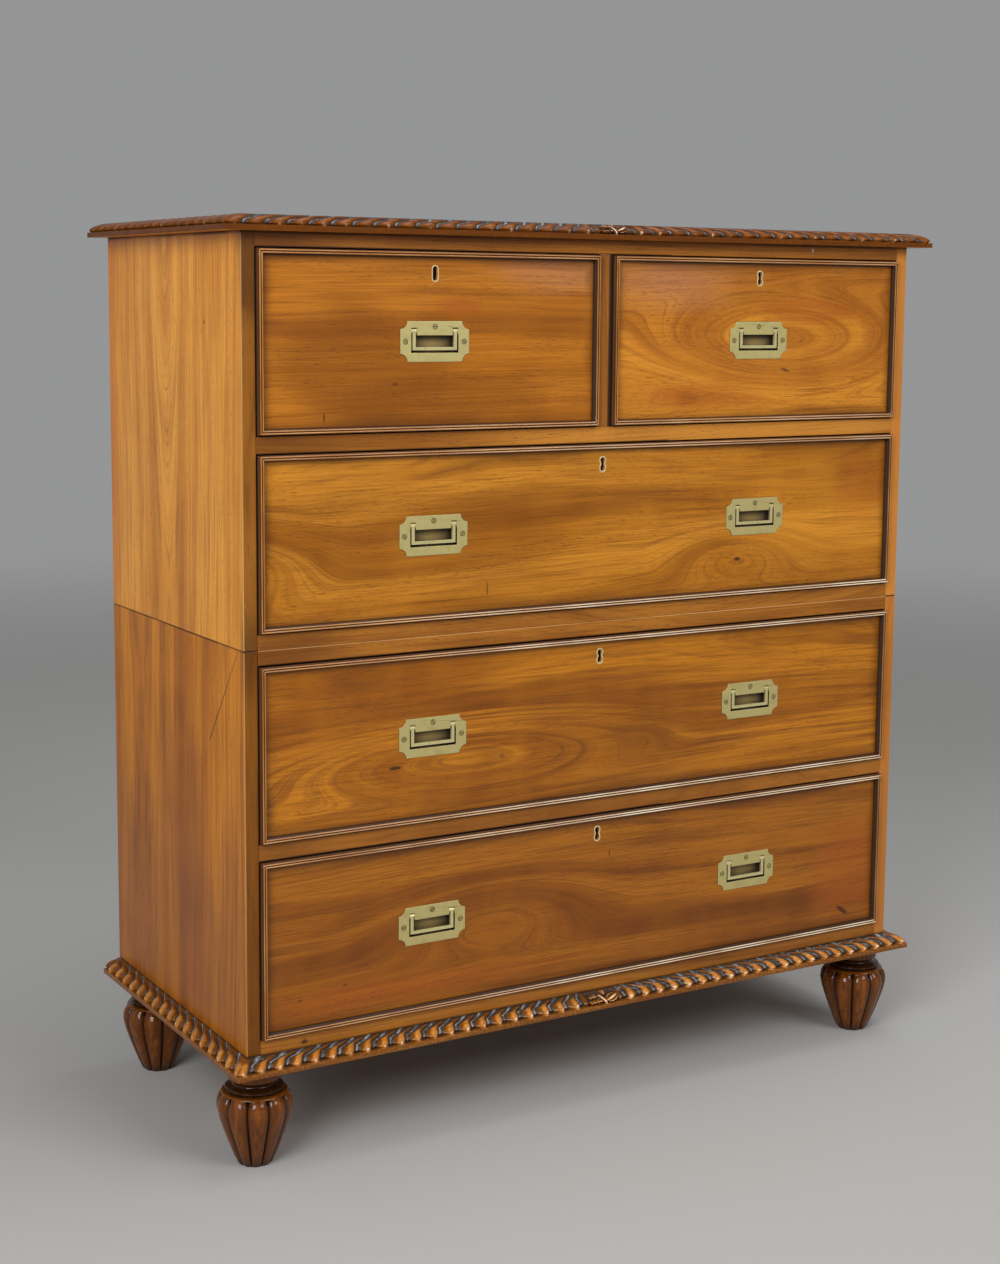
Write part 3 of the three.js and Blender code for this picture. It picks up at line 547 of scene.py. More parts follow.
def rope_cut(phase, across, shares, dark_top, rubbed_depth):
    """Depth of the carving as a share of the full cut, and how dark it is: a lobe with its flank in painted
    shade, a crest and a steep far side with a painted highlight low down, then a black hollow with a
    painted glint down its floor. Polish has gathered along the top, where the hollows run together."""
    phase -= math.floor(phase)
    fade = 1 - smooth(0.84, 1.0, across)
    top_line = smooth(dark_top, 1.0, across)
    brown = 0.42 * smooth(0.5, 0.8, across)
    lobe = float(np.interp(across, *zip(*shares)))
    if phase >= lobe:
        inside = (phase - lobe) / (1 - lobe)
        glint = math.exp(-((inside - 0.4) / 0.2) ** 2) * smooth(0.03, 0.1, across)
        return (0.6 + 0.4 * smooth(0, 0.16, inside)) * fade, 0.95 + hollow_glint * glint
    at = phase / lobe
    if at < crest_share:
        low = (crest_share - at) / crest_share
        return 0.85 * low ** 1.5 * fade, max(0.62 * low ** 0.6 - 0.08, brown, top_line)
    low = (at - crest_share) / (1 - crest_share)
    rubbed = math.exp(-((low - 0.4) / 0.4) ** 2) * (1 - smooth(0.1, 0.42, across))
    return 0.6 * low ** 3 * fade, max(0.3 * low ** 4 + brown, top_line) - rubbed_depth * rubbed


def leaf_lift(x, across, centre, radii, tilt):
    """1 on the rim of a pointed leaf and down its middle, less in the grooves between, 0 outside it."""
    dx, dz = x - centre[0], across - centre[1]
    along = (dx * math.cos(tilt) + dz * math.sin(tilt)) / radii[0]
    over = (dz * math.cos(tilt) - dx * math.sin(tilt)) / radii[1]
    width = max(0.0, 1 - along * along)
    if abs(over) >= width:
        return 0.0
    rib = abs(over) / width
    return min(1.0, 6 * (1 - rib)) * (1 - 0.75 * math.exp(-((rib - 0.45) / 0.18) ** 2))


def motif_cut(x, across):
    """The sprig: a stem that leans to the left, two leaves on its left, one and a bud on its right,
    standing in a sunk field, with a painted highlight on its raised rims, ribs and stem. x runs from -1 to
    1."""
    stem = math.exp(-((x - 0.14 + 0.5 * across) / (0.13 - 0.08 * across)) ** 4)
    stem *= 1 - smooth(0.62, 0.75, across)
    lift = max([stem] + [leaf_lift(x, across, *leaf) for leaf in sprig_leaves])
    cut = (1 - lift) * (1 - smooth(0.86, 1.0, across)) * (1 - 0.4 * smooth(0.85, 1.0, abs(x)))
    return cut, max(cut ** 0.7, smooth(0.84, 1.0, across)) - 0.4 * smooth(0.72, 1.0, lift)


def rope_run(run, lobe_count, pitch_share, ends_at_corner, first):
    """Places along one stretch of rope, whose lobes are counted from the front corner."""
    count = lobe_count * stations_per_lobe
    for k in range(first, first + count):
        lobes = lobe_count * k / count
        if ends_at_corner:
            lobes = lobe_count - lobes
        yield {"run": run, "share": 1 - lobes * pitch_share if ends_at_corner else lobes * pitch_share,
               "phase": lobes, "room": min(lobes, lobe_count - lobes),
               "pitch_share": -pitch_share if ends_at_corner else pitch_share}


def edge_stations(edge):
    """Places round the three edges, from the back left corner to the back right one."""
    front_length = 2 * (case_half + edge["side_reach"])
    motif_share = edge["motif_half"] / front_length
    front_lobes, side_lobes = edge["front_lobes"], edge["side_lobes"]
    front_pitch = (0.5 - motif_share) / front_lobes
    motif = [-1 + 2 * k / motif_stations for k in range(motif_stations + 1)]
    return [*rope_run("left", side_lobes, 1 / side_lobes, True, 0),
            *rope_run("front", front_lobes, front_pitch, False, 0),
            *({"run": "front", "share": 0.5 + x * motif_share, "motif": x} for x in motif),
            *rope_run("front", front_lobes, front_pitch, True, 1),
            *rope_run("right", side_lobes, 1 / side_lobes, False, 1)]


def edge_point(edge, run, share, reach, z):
    """A point on one of the three runs. reach tells how far out of the case face it lies, as a share of the
    full reach from 0 to 1, or a distance in from the face when it is negative."""
    side = case_half + (edge["side_reach"] * reach if reach > 0 else reach)
    front = front_y - (edge["front_reach"] * reach if reach > 0 else reach)
    start, end = {"left": ((-side, back_y), (-side, front)), "front": ((-side, front), (side, front)),
                  "right": ((side, front), (side, back_y))}[run]
    return start[0] + (end[0] - start[0]) * share, start[1] + (end[1] - start[1]) * share, z


def grid_faces(rows, loop, closed_rows=False, closed_loop=True, turned=False):
    """The faces between rows of points, of which each row goes once round the piece."""
    faces = []
    for row in range(rows if closed_rows else rows - 1):
        start, above = row * loop, (row + 1) % rows * loop
        for step in range(loop if closed_loop else loop - 1):
            after = (step + 1) % loop
            one, two = (start + step, above + step), (above + after, start + after)
            faces.append((one[0], two[1], two[0], one[1]) if turned else one + two)
    return faces


def carved_edge(name, edge, bottom, top, inner, *materials):
    """A board or frame with the rope round its front and sides. inner is how far in the frame reaches, or
    None for a whole board."""
    points, hollows = [], []
    fillet_top = bottom + edge["fillet"]
    rise = top - fillet_top
    random.seed(uneven_seed)
    wobble = [random.uniform(-1, 1) for _ in range(edge["front_lobes"] + 1)]
    stations = edge_stations(edge)
    for station in stations:
        run, share = station["run"], station["share"]
        points += [edge_point(edge, run, share, 1, bottom), edge_point(edge, run, share, 1, fillet_top)]
        hollows += fillet_hollows
        for step in range(roll_steps):
            across = step / (roll_steps - 1)
            angle = across * math.pi / 2
            if "motif" in station:
                (cut, dark), slip = motif_cut(station["motif"], across), 0.0
            else:
                phase = station["phase"] + corner_phase
                uneven = wobble[int(phase)]
                ease = min(1.0, station["room"] / lean_ease_lobes)
                slip = lean_at(across, edge["lean_from"]) * ease * station["pitch_share"]
                front = run == "front"
                cut, dark = rope_cut(phase, across, edge["front_shares" if front else "side_shares"],
                                     edge["dark_top"][0 if front else 1],
                                     edge["rubbed"] * (1 + 0.4 * uneven))
                cut *= 1 + 0.1 * uneven
            depth = edge["cut"] * cut
            bulge = 1 - 0.1 * (1 - smooth(0.0, 0.14, across))
            roll = edge["side_reach"] + edge["roll_inset"] - depth
            out = roll * math.cos(angle) ** 0.86 * bulge - edge["roll_inset"]
            up = (rise - depth * 0.75 * math.sin(angle)) * math.sin(angle) ** 0.94
            reach = out / edge["side_reach"] if out > 0 else out
            points.append(edge_point(edge, run, share + slip, reach, fillet_top + up))
            hollows.append(dark)
        if inner is not None:
            points += [edge_point(edge, run, share, -inner, z) for z in (top, bottom)]
            hollows += [0.0, 0.0]
    total = len(points)
    loop = total // len(stations)
    faces = grid_faces(len(stations), loop, closed_loop=inner is not None)
    near_end, far_end = list(range(loop)), list(range(total - 1, total - loop - 1, -1))
    if inner is None:
        flat_top, underside = list(range(loop - 1, total, loop)), list(range(total - loop, -1, -loop))
        faces += [flat_top, underside, near_end + far_end]
    else:
        faces += [near_end, far_end]
    return new_piece(name, points, faces, *materials, hollows=hollows, sharp_from=rope_sharp_from)


def carved_wood(name, seed, light, dark, axes="XYZ", roughness=0.27, hollow_from=0.55, hollow_to=0.92,
                hollow_colour=hollow_colour, rubbed=None, gloss=0.45, coarse=1.0):
    """Carved wood: black where polish has gathered in the hollows, with painted shade on the flanks, a
    painted highlight on the ridges and a broken painted glint down the hollows. A painted highlight colour,
    if given, is painted on the crests away from the left end and lower down, and coarse is how much the grit
    of the cut surface shows."""
    made, tree = new_material(name)
    _, parts, place = surface_place(tree, axes, seed)
    streak = stretched_noise(tree, place, (9.0, 190.0, 190.0), 3.0, 0.6)
    cloud = stretched_noise(tree, place, (14.0, 20.0, 20.0))
    grit = stretched_noise(tree, place, (300.0, 300.0, 300.0))
    patchy = stretched_noise(tree, place, (110.0, 110.0, 110.0), 1.0)
    hollow = node(tree, "Attribute", attribute_name="hollow").outputs["Fac"]
    hollow = maths(tree, "ADD", hollow, ranged(tree, grit, 0.3, 0.7, -0.06 * coarse, 0.06 * coarse))
    colour = layered(tree, light, [(streak, 0.3, 0.7, 1.0, dark), (cloud, 0.4, 0.7, 0.6, dark)])
    # The painted highlight on the crests: paler to the right, lower down and in patches.
    if rubbed:
        highlight_share = ranged(tree, parts["X"], -0.42, 0.1, 0.1, 1.0)
        for limits in ((cloud, 0.35, 0.6, 1.0, 0.55), (hollow, 0.08, 0.35, 1.0, 0.0),
                       (parts["Z"], 0.6, 1.0, 1.0, 0.15)):
            highlight_share = maths(tree, "MULTIPLY", highlight_share, ranged(tree, *limits))
        colour = mixed(tree, highlight_share, colour, rubbed)
    # A painted highlight where the value falls below zero, painted shade on the flanks, black polish in the
    # hollows, and a broken painted glint down their floors.
    colour = mixed(tree, ranged(tree, hollow, -0.36, -0.1, 0.75, 0.0), colour, painted_highlight_colour)
    colour = layered(tree, colour, [(hollow, 0.15 * hollow_from, 0.8 * hollow_from, 0.85, brown_and_shade_colour),
                                    (hollow, hollow_from, hollow_to, 0.95, hollow_colour)])
    broken_glint = maths(tree, "MULTIPLY", ranged(tree, hollow, 1.04, 1.26, 0.0, 0.9),
                   ranged(tree, patchy, 0.4, 0.6, 0.25, 1.0))
    colour = mixed(tree, broken_glint, colour, hollow_glint_colour)
    height = maths(tree, "ADD", streak, maths(tree, "MULTIPLY", grit, 0.6 * coarse))
    bump = node(tree, "Bump", {"Strength": 0.25, "Distance": 0.0004, "Height": height})
    finished(tree, {"Base Color": colour, "Normal": bump.outputs[0],
                    "Roughness": ranged(tree, cloud, 0.3, 0.7, roughness - 0.05, roughness + 0.1),
                    "Coat Weight": gloss, "Coat Roughness": 0.08, "Specular IOR Level": 0.08})
    return made


base_wood = carved_wood("base_wood", 21, carved_light, carved_dark)
base_rope = carved_edge("base_rope_moulding", base_edge, base_low.z, base_high.z, base_frame_width,
                        base_wood)
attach(base_rope, "lower_case")
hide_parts("base_moulding")
back_rail_half = case_half - base_frame_width
back_rail_ends = [(-back_rail_half, back_rail_half), (back_y - base_frame_width, back_y),
                  (base_low.z, base_high.z)]
block_faces = [(0, 1, 3, 2), (4, 6, 7, 5), (0, 4, 5, 1), (2, 3, 7, 6), (0, 2, 6, 4), (1, 5, 7, 3)]
base_back_rail = new_piece("base_back_rail", list(product(*back_rail_ends)), block_faces, back_wood)
ease_arrises(base_back_rail, arris_width)
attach(base_back_rail, "lower_case")

# Feet. Four turned vases of dark, glossy wood, each carved with ten upright lobes under a rounded
# shoulder, with a beaded ring and a plain collar above. A turned pin holds each in the base frame.
foot_lobes = 10
foot_points_per_lobe = 16
foot_rows = 74
foot_light = (0.24, 0.066, 0.004)
foot_dark = (0.095, 0.023, 0.001)
# Black in the grooves, the notches and the neck, and painted shade at the toe.
foot_hollow_and_shade_colour = (0.02, 0.0065, 0.0015)
# The outline: height and radius as shares of the foot's own, and the share of the full cut there.
foot_outline = [
    (0.0, 0.42, 0.5), (0.012, 0.455, 0.8), (0.1, 0.57, 1.0), (0.22, 0.7, 1.0), (0.36, 0.84, 1.0),
    (0.48, 0.945, 1.0), (0.57, 0.995, 1.0), (0.63, 0.985, 1.0), (0.67, 0.945, 0.95), (0.7, 0.885, 0.6),
    (0.708, 0.855, 0.1),
    (0.714, 0.87, 0.0), (0.722, 0.86, 0.0), (0.726, 0.82, 0.0), (0.731, 0.75, 0.0), (0.737, 0.72, 0.0),
    (0.744, 0.74, 0.0), (0.755, 0.765, 0.0), (0.767, 0.765, 0.0), (0.778, 0.735, 0.0), (0.784, 0.68, 0.0),
    (0.79, 0.6, 0.0), (0.804, 0.565, 0.0), (0.82, 0.57, 0.0), (0.834, 0.61, 0.0), (0.842, 0.67, 0.0),
    (0.86, 0.7, 0.0), (0.99, 0.7, 0.0), (1.0, 0.68, 0.0)]
foot_cut_share = 0.115
foot_least_radius = 0.4
shoulder_drop_share = 0.05
foot_sharp_from = 60
foot_turns = {"front_left": 18, "front_right": 12.6, "back_left": 5.4, "back_right": 0}


def foot_piece(name, radius, height, material):
    """The foot about its own axis, standing at z = 0."""
    places, radii, cuts = (np.array(column) for column in zip(*foot_outline))
    around = foot_lobes * foot_points_per_lobe
    levels = np.sort(np.concatenate([np.linspace(0, 1, foot_rows), places]))
    points, hollows = [], []
    for level in levels:
        cut_share = float(np.interp(level, places, cuts))
        shoulder = shoulder_drop_share * smooth(0.5, 0.68, level) * (1 - smooth(0.7, 0.708, level))
        neck = 0.76 * smooth(0.722, 0.732, level) * (1 - smooth(0.83, 0.87, level))
        # Painted shade towards the floor.
        toe_shade = 0.7 * (1 - smooth(0.0, 0.2, level))
        notch_share = smooth(0.6, 0.68, level) * (1 - smooth(0.703, 0.71, level))
        for k in range(around):
            phase = (k % foot_points_per_lobe) / foot_points_per_lobe
            sunk = 1 - math.sqrt(max(0.0, 1 - abs(2 * phase - 1) ** 2.3))
            at = min(1.0, level + shoulder * sunk)
            here = float(np.interp(at, places, radii)) - foot_cut_share * cut_share * sunk
            out = radius * max(here, foot_least_radius)
            angle = 2 * math.pi * k / around
            points.append((out * math.cos(angle), out * math.sin(angle), height * level))
            groove = min(0.64, sunk ** 0.85 * cut_share * (1.5 - 0.75 * level))
            hollows.append(max(groove, sunk ** 0.4 * notch_share, neck, toe_shade))
    faces = grid_faces(len(levels), around, turned=True)
    faces += [list(range(around))[::-1], list(range(len(points) - around, len(points)))]
    return new_piece(name, points, faces, material, hollows=hollows, sharp_from=foot_sharp_from)


foot_wood = carved_wood("foot_wood", 31, foot_light, foot_dark, axes="ZXY", roughness=0.24, hollow_from=0.35,
                        hollow_to=0.85, hollow_colour=foot_hollow_and_shade_colour, gloss=0.55)
for corner, foot_turn in foot_turns.items():
    low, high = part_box("foot_" + corner)
    foot = foot_piece("turned_foot_" + corner, (high.x - low.x) / 2, base_low.z, foot_wood)
    foot.data.transform(Matrix.Rotation(math.radians(foot_turn), 4, "Z"))
    foot.data.transform(Matrix.Translation(((low.x + high.x) / 2, (low.y + high.y) / 2, 0)))
    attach(foot, "lower_case")
    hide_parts("foot_" + corner)

# Top board. Its front and side edges carry the same rope, larger and rounder than the base's, over a
# flat fillet, and meet in the middle of the front. The flat of the top is polished like the sides.
top_low, top_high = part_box("top_board")
top_shares = [(0.0, 0.76), (0.5, 0.72), (0.8, 0.6), (1.0, 0.4)]
top_edge = {"side_reach": top_high.x - case_half, "front_reach": front_y - top_low.y, "fillet": 0.0062,
            "roll_inset": 0.008, "cut": 0.0052, "motif_half": 0.0225, "front_lobes": 18, "side_lobes": 17,
            "front_shares": top_shares, "side_shares": top_shares, "dark_top": (0.84, 0.96),
            "lean_from": 0.3, "rubbed": 0.2}
top_light = (0.27, 0.078, 0.005)
top_dark = (0.12, 0.03, 0.002)
top_tones = (upper_side_tones[1], lower_side_tones[0], lower_side_tones[2])
flat_face_corners = 100

top_rope_wood = carved_wood("top_rope_wood", 41, top_light, top_dark, gloss=0.12)
top_face_wood = polished_wood("top_face_wood", "XYZ", 42, top_tones, (0.04, 0.08), 0.09, gloss=0.08)
top_rope = carved_edge("top_rope_board", top_edge, top_low.z, top_high.z, None, top_rope_wood, top_face_wood)
for polygon in top_rope.data.polygons:
    if len(polygon.vertices) > flat_face_corners:
        polygon.material_index = 1
        polygon.use_smooth = False
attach(top_rope, "upper_case")
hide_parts("top_board")

# Drawer fronts. Flat boards of figured wood, lighter in the middle and darker along the beads, partly
# with old polish and partly as painted shade, with a painted shadow line just inside the beads. Each has
# its own run of figure, as the boards come from one log but were cut apart. The bottom front is darkest,
# partly in the wood and partly as painted falloff of the light; the second is painted lighter on its
# right and darker on its left as the light falls, and the top two carry a painted reflection of a soft
# light.
# Darker along the beads: partly old polish, partly painted shade.
front_rim_polish_and_shade_colour = (0.1, 0.026, 0.002)
front_red = (0.38, 0.085, 0.006)
front_shade = (0.2, 0.056, 0.002)
# Painted light on the right of the second drawer.
front_lit_colour = (0.7, 0.28, 0.02)
# A painted reflection of a soft light, at the inner top ends of the top drawers.
front_reflection_colour = (0.5, 0.22, 0.11)
front_gloss = 0.25
bead_width = 0.0065
keyhole_drop = 0.026
keyhole_shade_radii = (0.006, 0.0104, 0.013)
drawer_names = ["bottom_drawer", "third_drawer", "second_drawer", "top_left_drawer", "top_right_drawer"]
front_face_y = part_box("bottom_drawer_front")[0].y


def on_front(x, z, across, up, strength, colour=grime_and_shade_colour, **more):
    """A spot on the face of the drawers, given by its middle and its half width and height."""
    return spot((x, front_face_y, z), (across, 0.02, up), strength, colour, **more)


front_boards = {
    "bottom_drawer": {
        "seed": 51, "tones": ((0.385, 0.128, 0.006), (0.262, 0.075, 0.002), (0.115, 0.026, 0.001)),
        "heart": (0.42, 0.12), "wander": 0.05,
        "swirls": [on_front(-0.16, 0.275, 0.24, 0.075, 0.062)],
        "patches": [on_front(0.43, 0.25, 0.08, 0.09, 0.5, front_red),
                    on_front(-0.3, 0.2, 0.3, 0.03, 0.5, front_red)],
        "marks": [on_front(0.4217, 0.192, 0.017, 0.004, 0.8, tilt=-0.6),
                  on_front(-0.429, 0.206, 0.005, 0.0025, 0.6), on_front(-0.368, 0.216, 0.004, 0.002, 0.5),
                  on_front(0.25, 0.3, 0.004, 0.003, 0.5), on_front(0.02, 0.33, 0.0015, 0.007, 0.5)]},
    "third_drawer": {
        "seed": 52, "tones": ((0.53, 0.187, 0.008), (0.3, 0.088, 0.001), (0.115, 0.026, 0.001)),
        "heart": (0.6, 0.1), "wander": 0.045,
        "swirls": [on_front(-0.2, 0.49, 0.38, 0.068, 0.085), on_front(0.085, 0.484, 0.07, 0.03, 0.01)],
        "patches": [on_front(0.07, 0.492, 0.06, 0.025, 0.45, front_shade),
                    on_front(0.02, 0.5, 0.2, 0.1, 0.3, front_shade),
                    on_front(-0.35, 0.585, 0.16, 0.02, 0.5, front_shade)],
        "marks": [on_front(-0.298, 0.48, 0.011, 0.0028, 0.8), on_front(-0.146, 0.479, 0.007, 0.006, 0.4)]},
    "second_drawer": {
        "seed": 53, "tones": ((0.6, 0.235, 0.018), (0.42, 0.143, 0.005), (0.19, 0.052, 0.001)),
        "heart": (0.86, 0.11), "wander": 0.05,
        "swirls": [on_front(0.22, 0.72, 0.17, 0.06, 0.045), on_front(-0.6, 0.745, 0.27, 0.085, 0.1)],
        "patches": [on_front(-0.02, 0.8, 0.3, 0.03, 0.4, front_shade),
                    on_front(-0.32, 0.76, 0.26, 0.12, 0.35, front_shade),
                    on_front(0.34, 0.75, 0.2, 0.09, 0.4, front_lit_colour),
                    on_front(0.43, 0.8, 0.06, 0.06, 0.3, front_red)],
        "marks": [on_front(0.219, 0.709, 0.006, 0.003, 0.85), on_front(-0.17, 0.695, 0.0012, 0.012, 0.6)]},
    "top_left_drawer": {
        "seed": 54, "tones": ((0.49, 0.166, 0.01), (0.36, 0.112, 0.004), (0.22, 0.06, 0.002)),
        "heart": (1.5, 0.3), "wander": 0.04,
        "patches": [on_front(-0.36, 0.98, 0.14, 0.09, 0.55, front_shade),
                    on_front(-0.22, 0.93, 0.2, 0.03, 0.5, front_shade),
                    on_front(-0.212, 1.043, 0.05, 0.02, 0.55, front_red),
                    on_front(-0.07, 1.085, 0.14, 0.04, 0.4, front_reflection_colour, core=0.0)],
        "marks": [on_front(-0.3945, 0.913, 0.002, 0.009, 0.6), on_front(-0.3, 0.95, 0.006, 0.002, 0.5)]},
    "top_right_drawer": {
        "seed": 55, "tones": ((0.68, 0.265, 0.022), (0.47, 0.157, 0.01), (0.28, 0.076, 0.004)),
        "heart": (0.93, 0.12), "wander": 0.05,
        "swirls": [on_front(0.3, 1.0, 0.31, 0.085, 0.11)],
        "patches": [on_front(0.09, 1.08, 0.15, 0.05, 0.45, front_reflection_colour, core=0.0),
                    on_front(0.15, 0.93, 0.15, 0.03, 0.45, front_red),
                    on_front(0.33, 1.04, 0.08, 0.02, 0.4, front_red)],
        "marks": [on_front(0.292, 0.961, 0.012, 0.003, 0.7, tilt=-0.2)]},
}
for drawer in drawer_names:
    low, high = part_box(drawer + "_front")
    # Painted shade inside the keyhole, on its walls below the face.
    keyhole_shade = spot(((low.x + high.x) / 2, front_face_y + 0.0112, high.z - keyhole_drop), keyhole_shade_radii, 1.0,
                   core=0.9)
    rim = {"low": (low.x + bead_width, low.z + bead_width), "width": 0.017, "line": 0.0018, "strength": 0.5,
           "high": (high.x - bead_width, high.z - bead_width), "colour": front_rim_polish_and_shade_colour}
    front_wood = polished_wood(drawer + "_wood", "XZY", rim=rim, bands=[keyhole_shade], gloss=front_gloss,
                               **front_boards[drawer])
    finish_cad(drawer + "_front", front_wood, 0)

# Beads. A moulding of two fine reeds is mitred round each front, proud of it. It was run by hand, so
# its reeds waver a little; the quirks between them are black, the sides of the reeds, the outer side
# and the foot of the inner side are darkened as painted shade, and the crests of the level lengths
# carry a painted highlight, paler to the right and on the lower drawers.
bead_segment = 0.009
least_segments = 4
bead_waver = 0.00004
bead_light = (0.56, 0.25, 0.065)
bead_dark = (0.34, 0.12, 0.02)
bead_highlight_colour = (0.92, 0.76, 0.55)
bead_coarse = 0.15
bead_tongue = 0.0035
bead_sharp_from = 50
reed_steps = 8
# Each reed: where it starts and ends across the bead, and its height, as shares. They meet in a quirk.
reed_quirk = 0.5
reeds = [(0.05, reed_quirk, 1.0), (reed_quirk, 0.95, 0.97)]


def bead_section(width, height):
    """Across the bead from its outer edge: distance in, distance out from the face, and how dark the point
    is: black in the quirk, and painted shade down the sides of the reeds, the outer side and the foot of
    the inner side."""
    section = [(0.0, -bead_tongue, 1.0), (0.0, height * 0.12, 0.8), (0.0, height * 0.3, 0.25),
               (0.0, height * 0.74, 0.2)]
    for start, end, height_share in reeds:
        middle, radius = (start + end) / 2 * width, (end - start) / 2 * width
        crest = height * height_share
        if start == reed_quirk:
            section.append((reed_quirk * width, height - radius * 1.5, 1.0))
        for step in range(reed_steps + 1):
            angle = math.pi * (1 - step / reed_steps)
            out = crest - radius + radius * math.sin(angle)
            section.append((middle + radius * math.cos(angle) * 0.94, out, 1.0 - math.sin(angle) ** 0.6))
    inner = width * 0.985
    return section + [(inner, height * 0.5, 0.3), (inner, height * 0.16, 0.45), (inner, 0.0, 1.0),
                      (width * 0.97, -bead_tongue, 1.0)]


def bead_piece(name, low, high, face_y, crest_y):
    """The four lengths of bead round a front, mitred at the corners."""
    section = bead_section(bead_width, face_y - crest_y)
    corners = [(low.x, low.z, 1, 1), (high.x, low.z, -1, 1), (high.x, high.z, -1, -1),
               (low.x, high.z, 1, -1)]
    random.seed(name)
    points, hollows, upright = [], [], []
    for length, (start, end) in enumerate(zip(corners, corners[1:] + corners[:1])):
        count = max(least_segments, round(math.dist(start[:2], end[:2]) / bead_segment))
        for k in range(count):
            share = k / count
            drift = bead_waver * random.uniform(-1, 1) if 0 < k else 0.0
            for across, out, hollow in section:
                x0, z0 = start[0] + start[2] * across, start[1] + start[3] * across
                x1, z1 = end[0] + end[2] * across, end[1] + end[3] * across
                lift = drift if out > 0 else 0.0
                points.append((x0 + (x1 - x0) * share, face_y - out + lift, z0 + (z1 - z0) * share))
                hollows.append(hollow)
            upright += [length % 2] * len(section)
    faces = grid_faces(len(points) // len(section), len(section), closed_rows=True)
    piece = new_piece(name, points, faces, bead_wood, bead_upright_wood, hollows=hollows,
                      sharp_from=bead_sharp_from)
    piece.data.polygons.foreach_set("material_index", upright)
    return piece


# Only the level lengths carry the painted highlight.
bead_wood = carved_wood("bead_wood", 61, bead_light, bead_dark, roughness=0.2, hollow_from=0.2,
                        hollow_to=0.44, rubbed=bead_highlight_colour, coarse=bead_coarse)
bead_upright_wood = carved_wood("bead_upright_wood", 62, bead_light, bead_dark, axes="ZXY", roughness=0.2,
                                hollow_from=0.18, hollow_to=0.42, coarse=bead_coarse)
for drawer in drawer_names:
    low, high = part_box(drawer + "_bead")
    bead = bead_piece(drawer + "_reeded_bead", low, high, front_face_y, low.y)
    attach(bead, drawer)
    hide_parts(drawer + "_bead")

# Drawer boxes. Thin sides and back dovetailed round a bottom board, of paler wood that was planed and
# waxed but never polished.
box_arris = 0.0007
box_wood = bare_wood("drawer_box_wood", "YZX", 71)
for drawer in drawer_names:
    finish_cad(drawer + "_box", box_wood, box_arris)

# Locks. A cast brass case let into the back of each front, behind the keyhole, with the bolt that rises
# from its top edge into the rail above. They are hidden and have dulled.
lock_colour = (0.42, 0.31, 0.11)
lock_dull = (0.2, 0.14, 0.05)
lock_arris = 0.0003


def old_brass(name, bright, dull, roughness):
    """Cast brass, rubbed bright on its flats and dull where fingers don't reach, with fine scratches."""
    made, tree = new_material(name)
    place = node(tree, "TexCoord").outputs["Object"]
    cloud = stretched_noise(tree, place, (60.0, 60.0, 60.0), 3.0)
    scratch = stretched_noise(tree, place, (260.0, 260.0, 1500.0))
    colour = layered(tree, bright, [(cloud, 0.45, 0.8, 0.7, dull)])
    bump = node(tree, "Bump", {"Strength": 0.05, "Distance": 0.0001, "Height": scratch})
    rough = maths(tree, "ADD", ranged(tree, cloud, 0.3, 0.8, roughness - 0.06, roughness + 0.16),
                  ranged(tree, scratch, 0.3, 0.7, -0.03, 0.05))
    finished(tree, {"Base Color": colour, "Metallic": 0.55, "Roughness": rough, "Normal": bump.outputs[0]})
    return made


lock_brass = old_brass("lock_brass", lock_colour, lock_dull, 0.42)
for drawer in drawer_names:
    finish_cad(drawer + "_lock", lock_brass, lock_arris)
    finish_cad(drawer + "_bolt", lock_brass, lock_arris)

# Sunk handles. A cast plate with hollowed corners and a dished pan behind it, in which a bail lies
# flush on two pins. Three slotted screws hold each plate. The brass is pale and a little green.
handle_bright = (0.56, 0.47, 0.19)
handle_dull = (0.4, 0.33, 0.12)
bail_bright = (0.66, 0.58, 0.28)
pan_reflection_colour = (0.36, 0.25, 0.085)
pan_shade_colour = (0.035, 0.02, 0.012)
pan_shine_radii = (0.034, 9.0, 0.0125)
pan_shine_drop = 0.003
plate_arris = 0.0003
bail_arris = 0.0005
plate_face_depth = 0.0001
slot_shade_rise = 0.0095
screw_radius = 0.0029
screw_sides = 28
screw_slot_width = 0.0008
screw_lift = 0.00025
screw_depths = ((0.0, 0.94), (0.00012, 1.0), (0.0008, 1.0))
screw_side_inset = 0.007
screw_top_inset = 0.0066
screw_ring = 1.22
screw_ring_depths = (-0.00006, 0.0004)
# A painted shadow ring round each screw head, for its countersink.
screw_shadow_colour = (0.05, 0.036, 0.015)
screw_seed = 3
screw_turn = 1.5

handle_brass = old_brass("handle_brass", handle_bright, handle_dull, 0.42)
bail_brass = old_brass("bail_brass", bail_bright, handle_bright, 0.3)
screw_brass = old_brass("screw_brass", handle_dull, lock_dull, 0.34)
screw_dirt = old_brass("screw_dirt", screw_shadow_colour, screw_shadow_colour, 0.6)


def pan_metal(name, middle_x, middle_z):
    """Inside a pan: painted shade, nearly black, round its walls and in the slots, and a painted reflection
    of dull gold in the middle of its floor.
    """
    made, tree = new_material(name)
    shine = spot((middle_x, 0, middle_z - pan_shine_drop), pan_shine_radii, 1.0, core=0.0)
    shade = spot_shade(tree, node(tree, "TexCoord").outputs["Object"], shine)
    colour = mixed(tree, shade, pan_shade_colour, pan_reflection_colour)
    finished(tree, {"Base Color": colour, "Metallic": 0.4, "Roughness": 0.42})
    return made


def drum_faces(start, rows, loop):
    """A closed drum: its front, the faces round it and its back."""
    last = start + (rows - 1) * loop
    around = [[start + corner for corner in face] for face in grid_faces(rows, loop)]
    return [list(range(start, start + loop)), *around, list(range(last, last + loop))[::-1]]


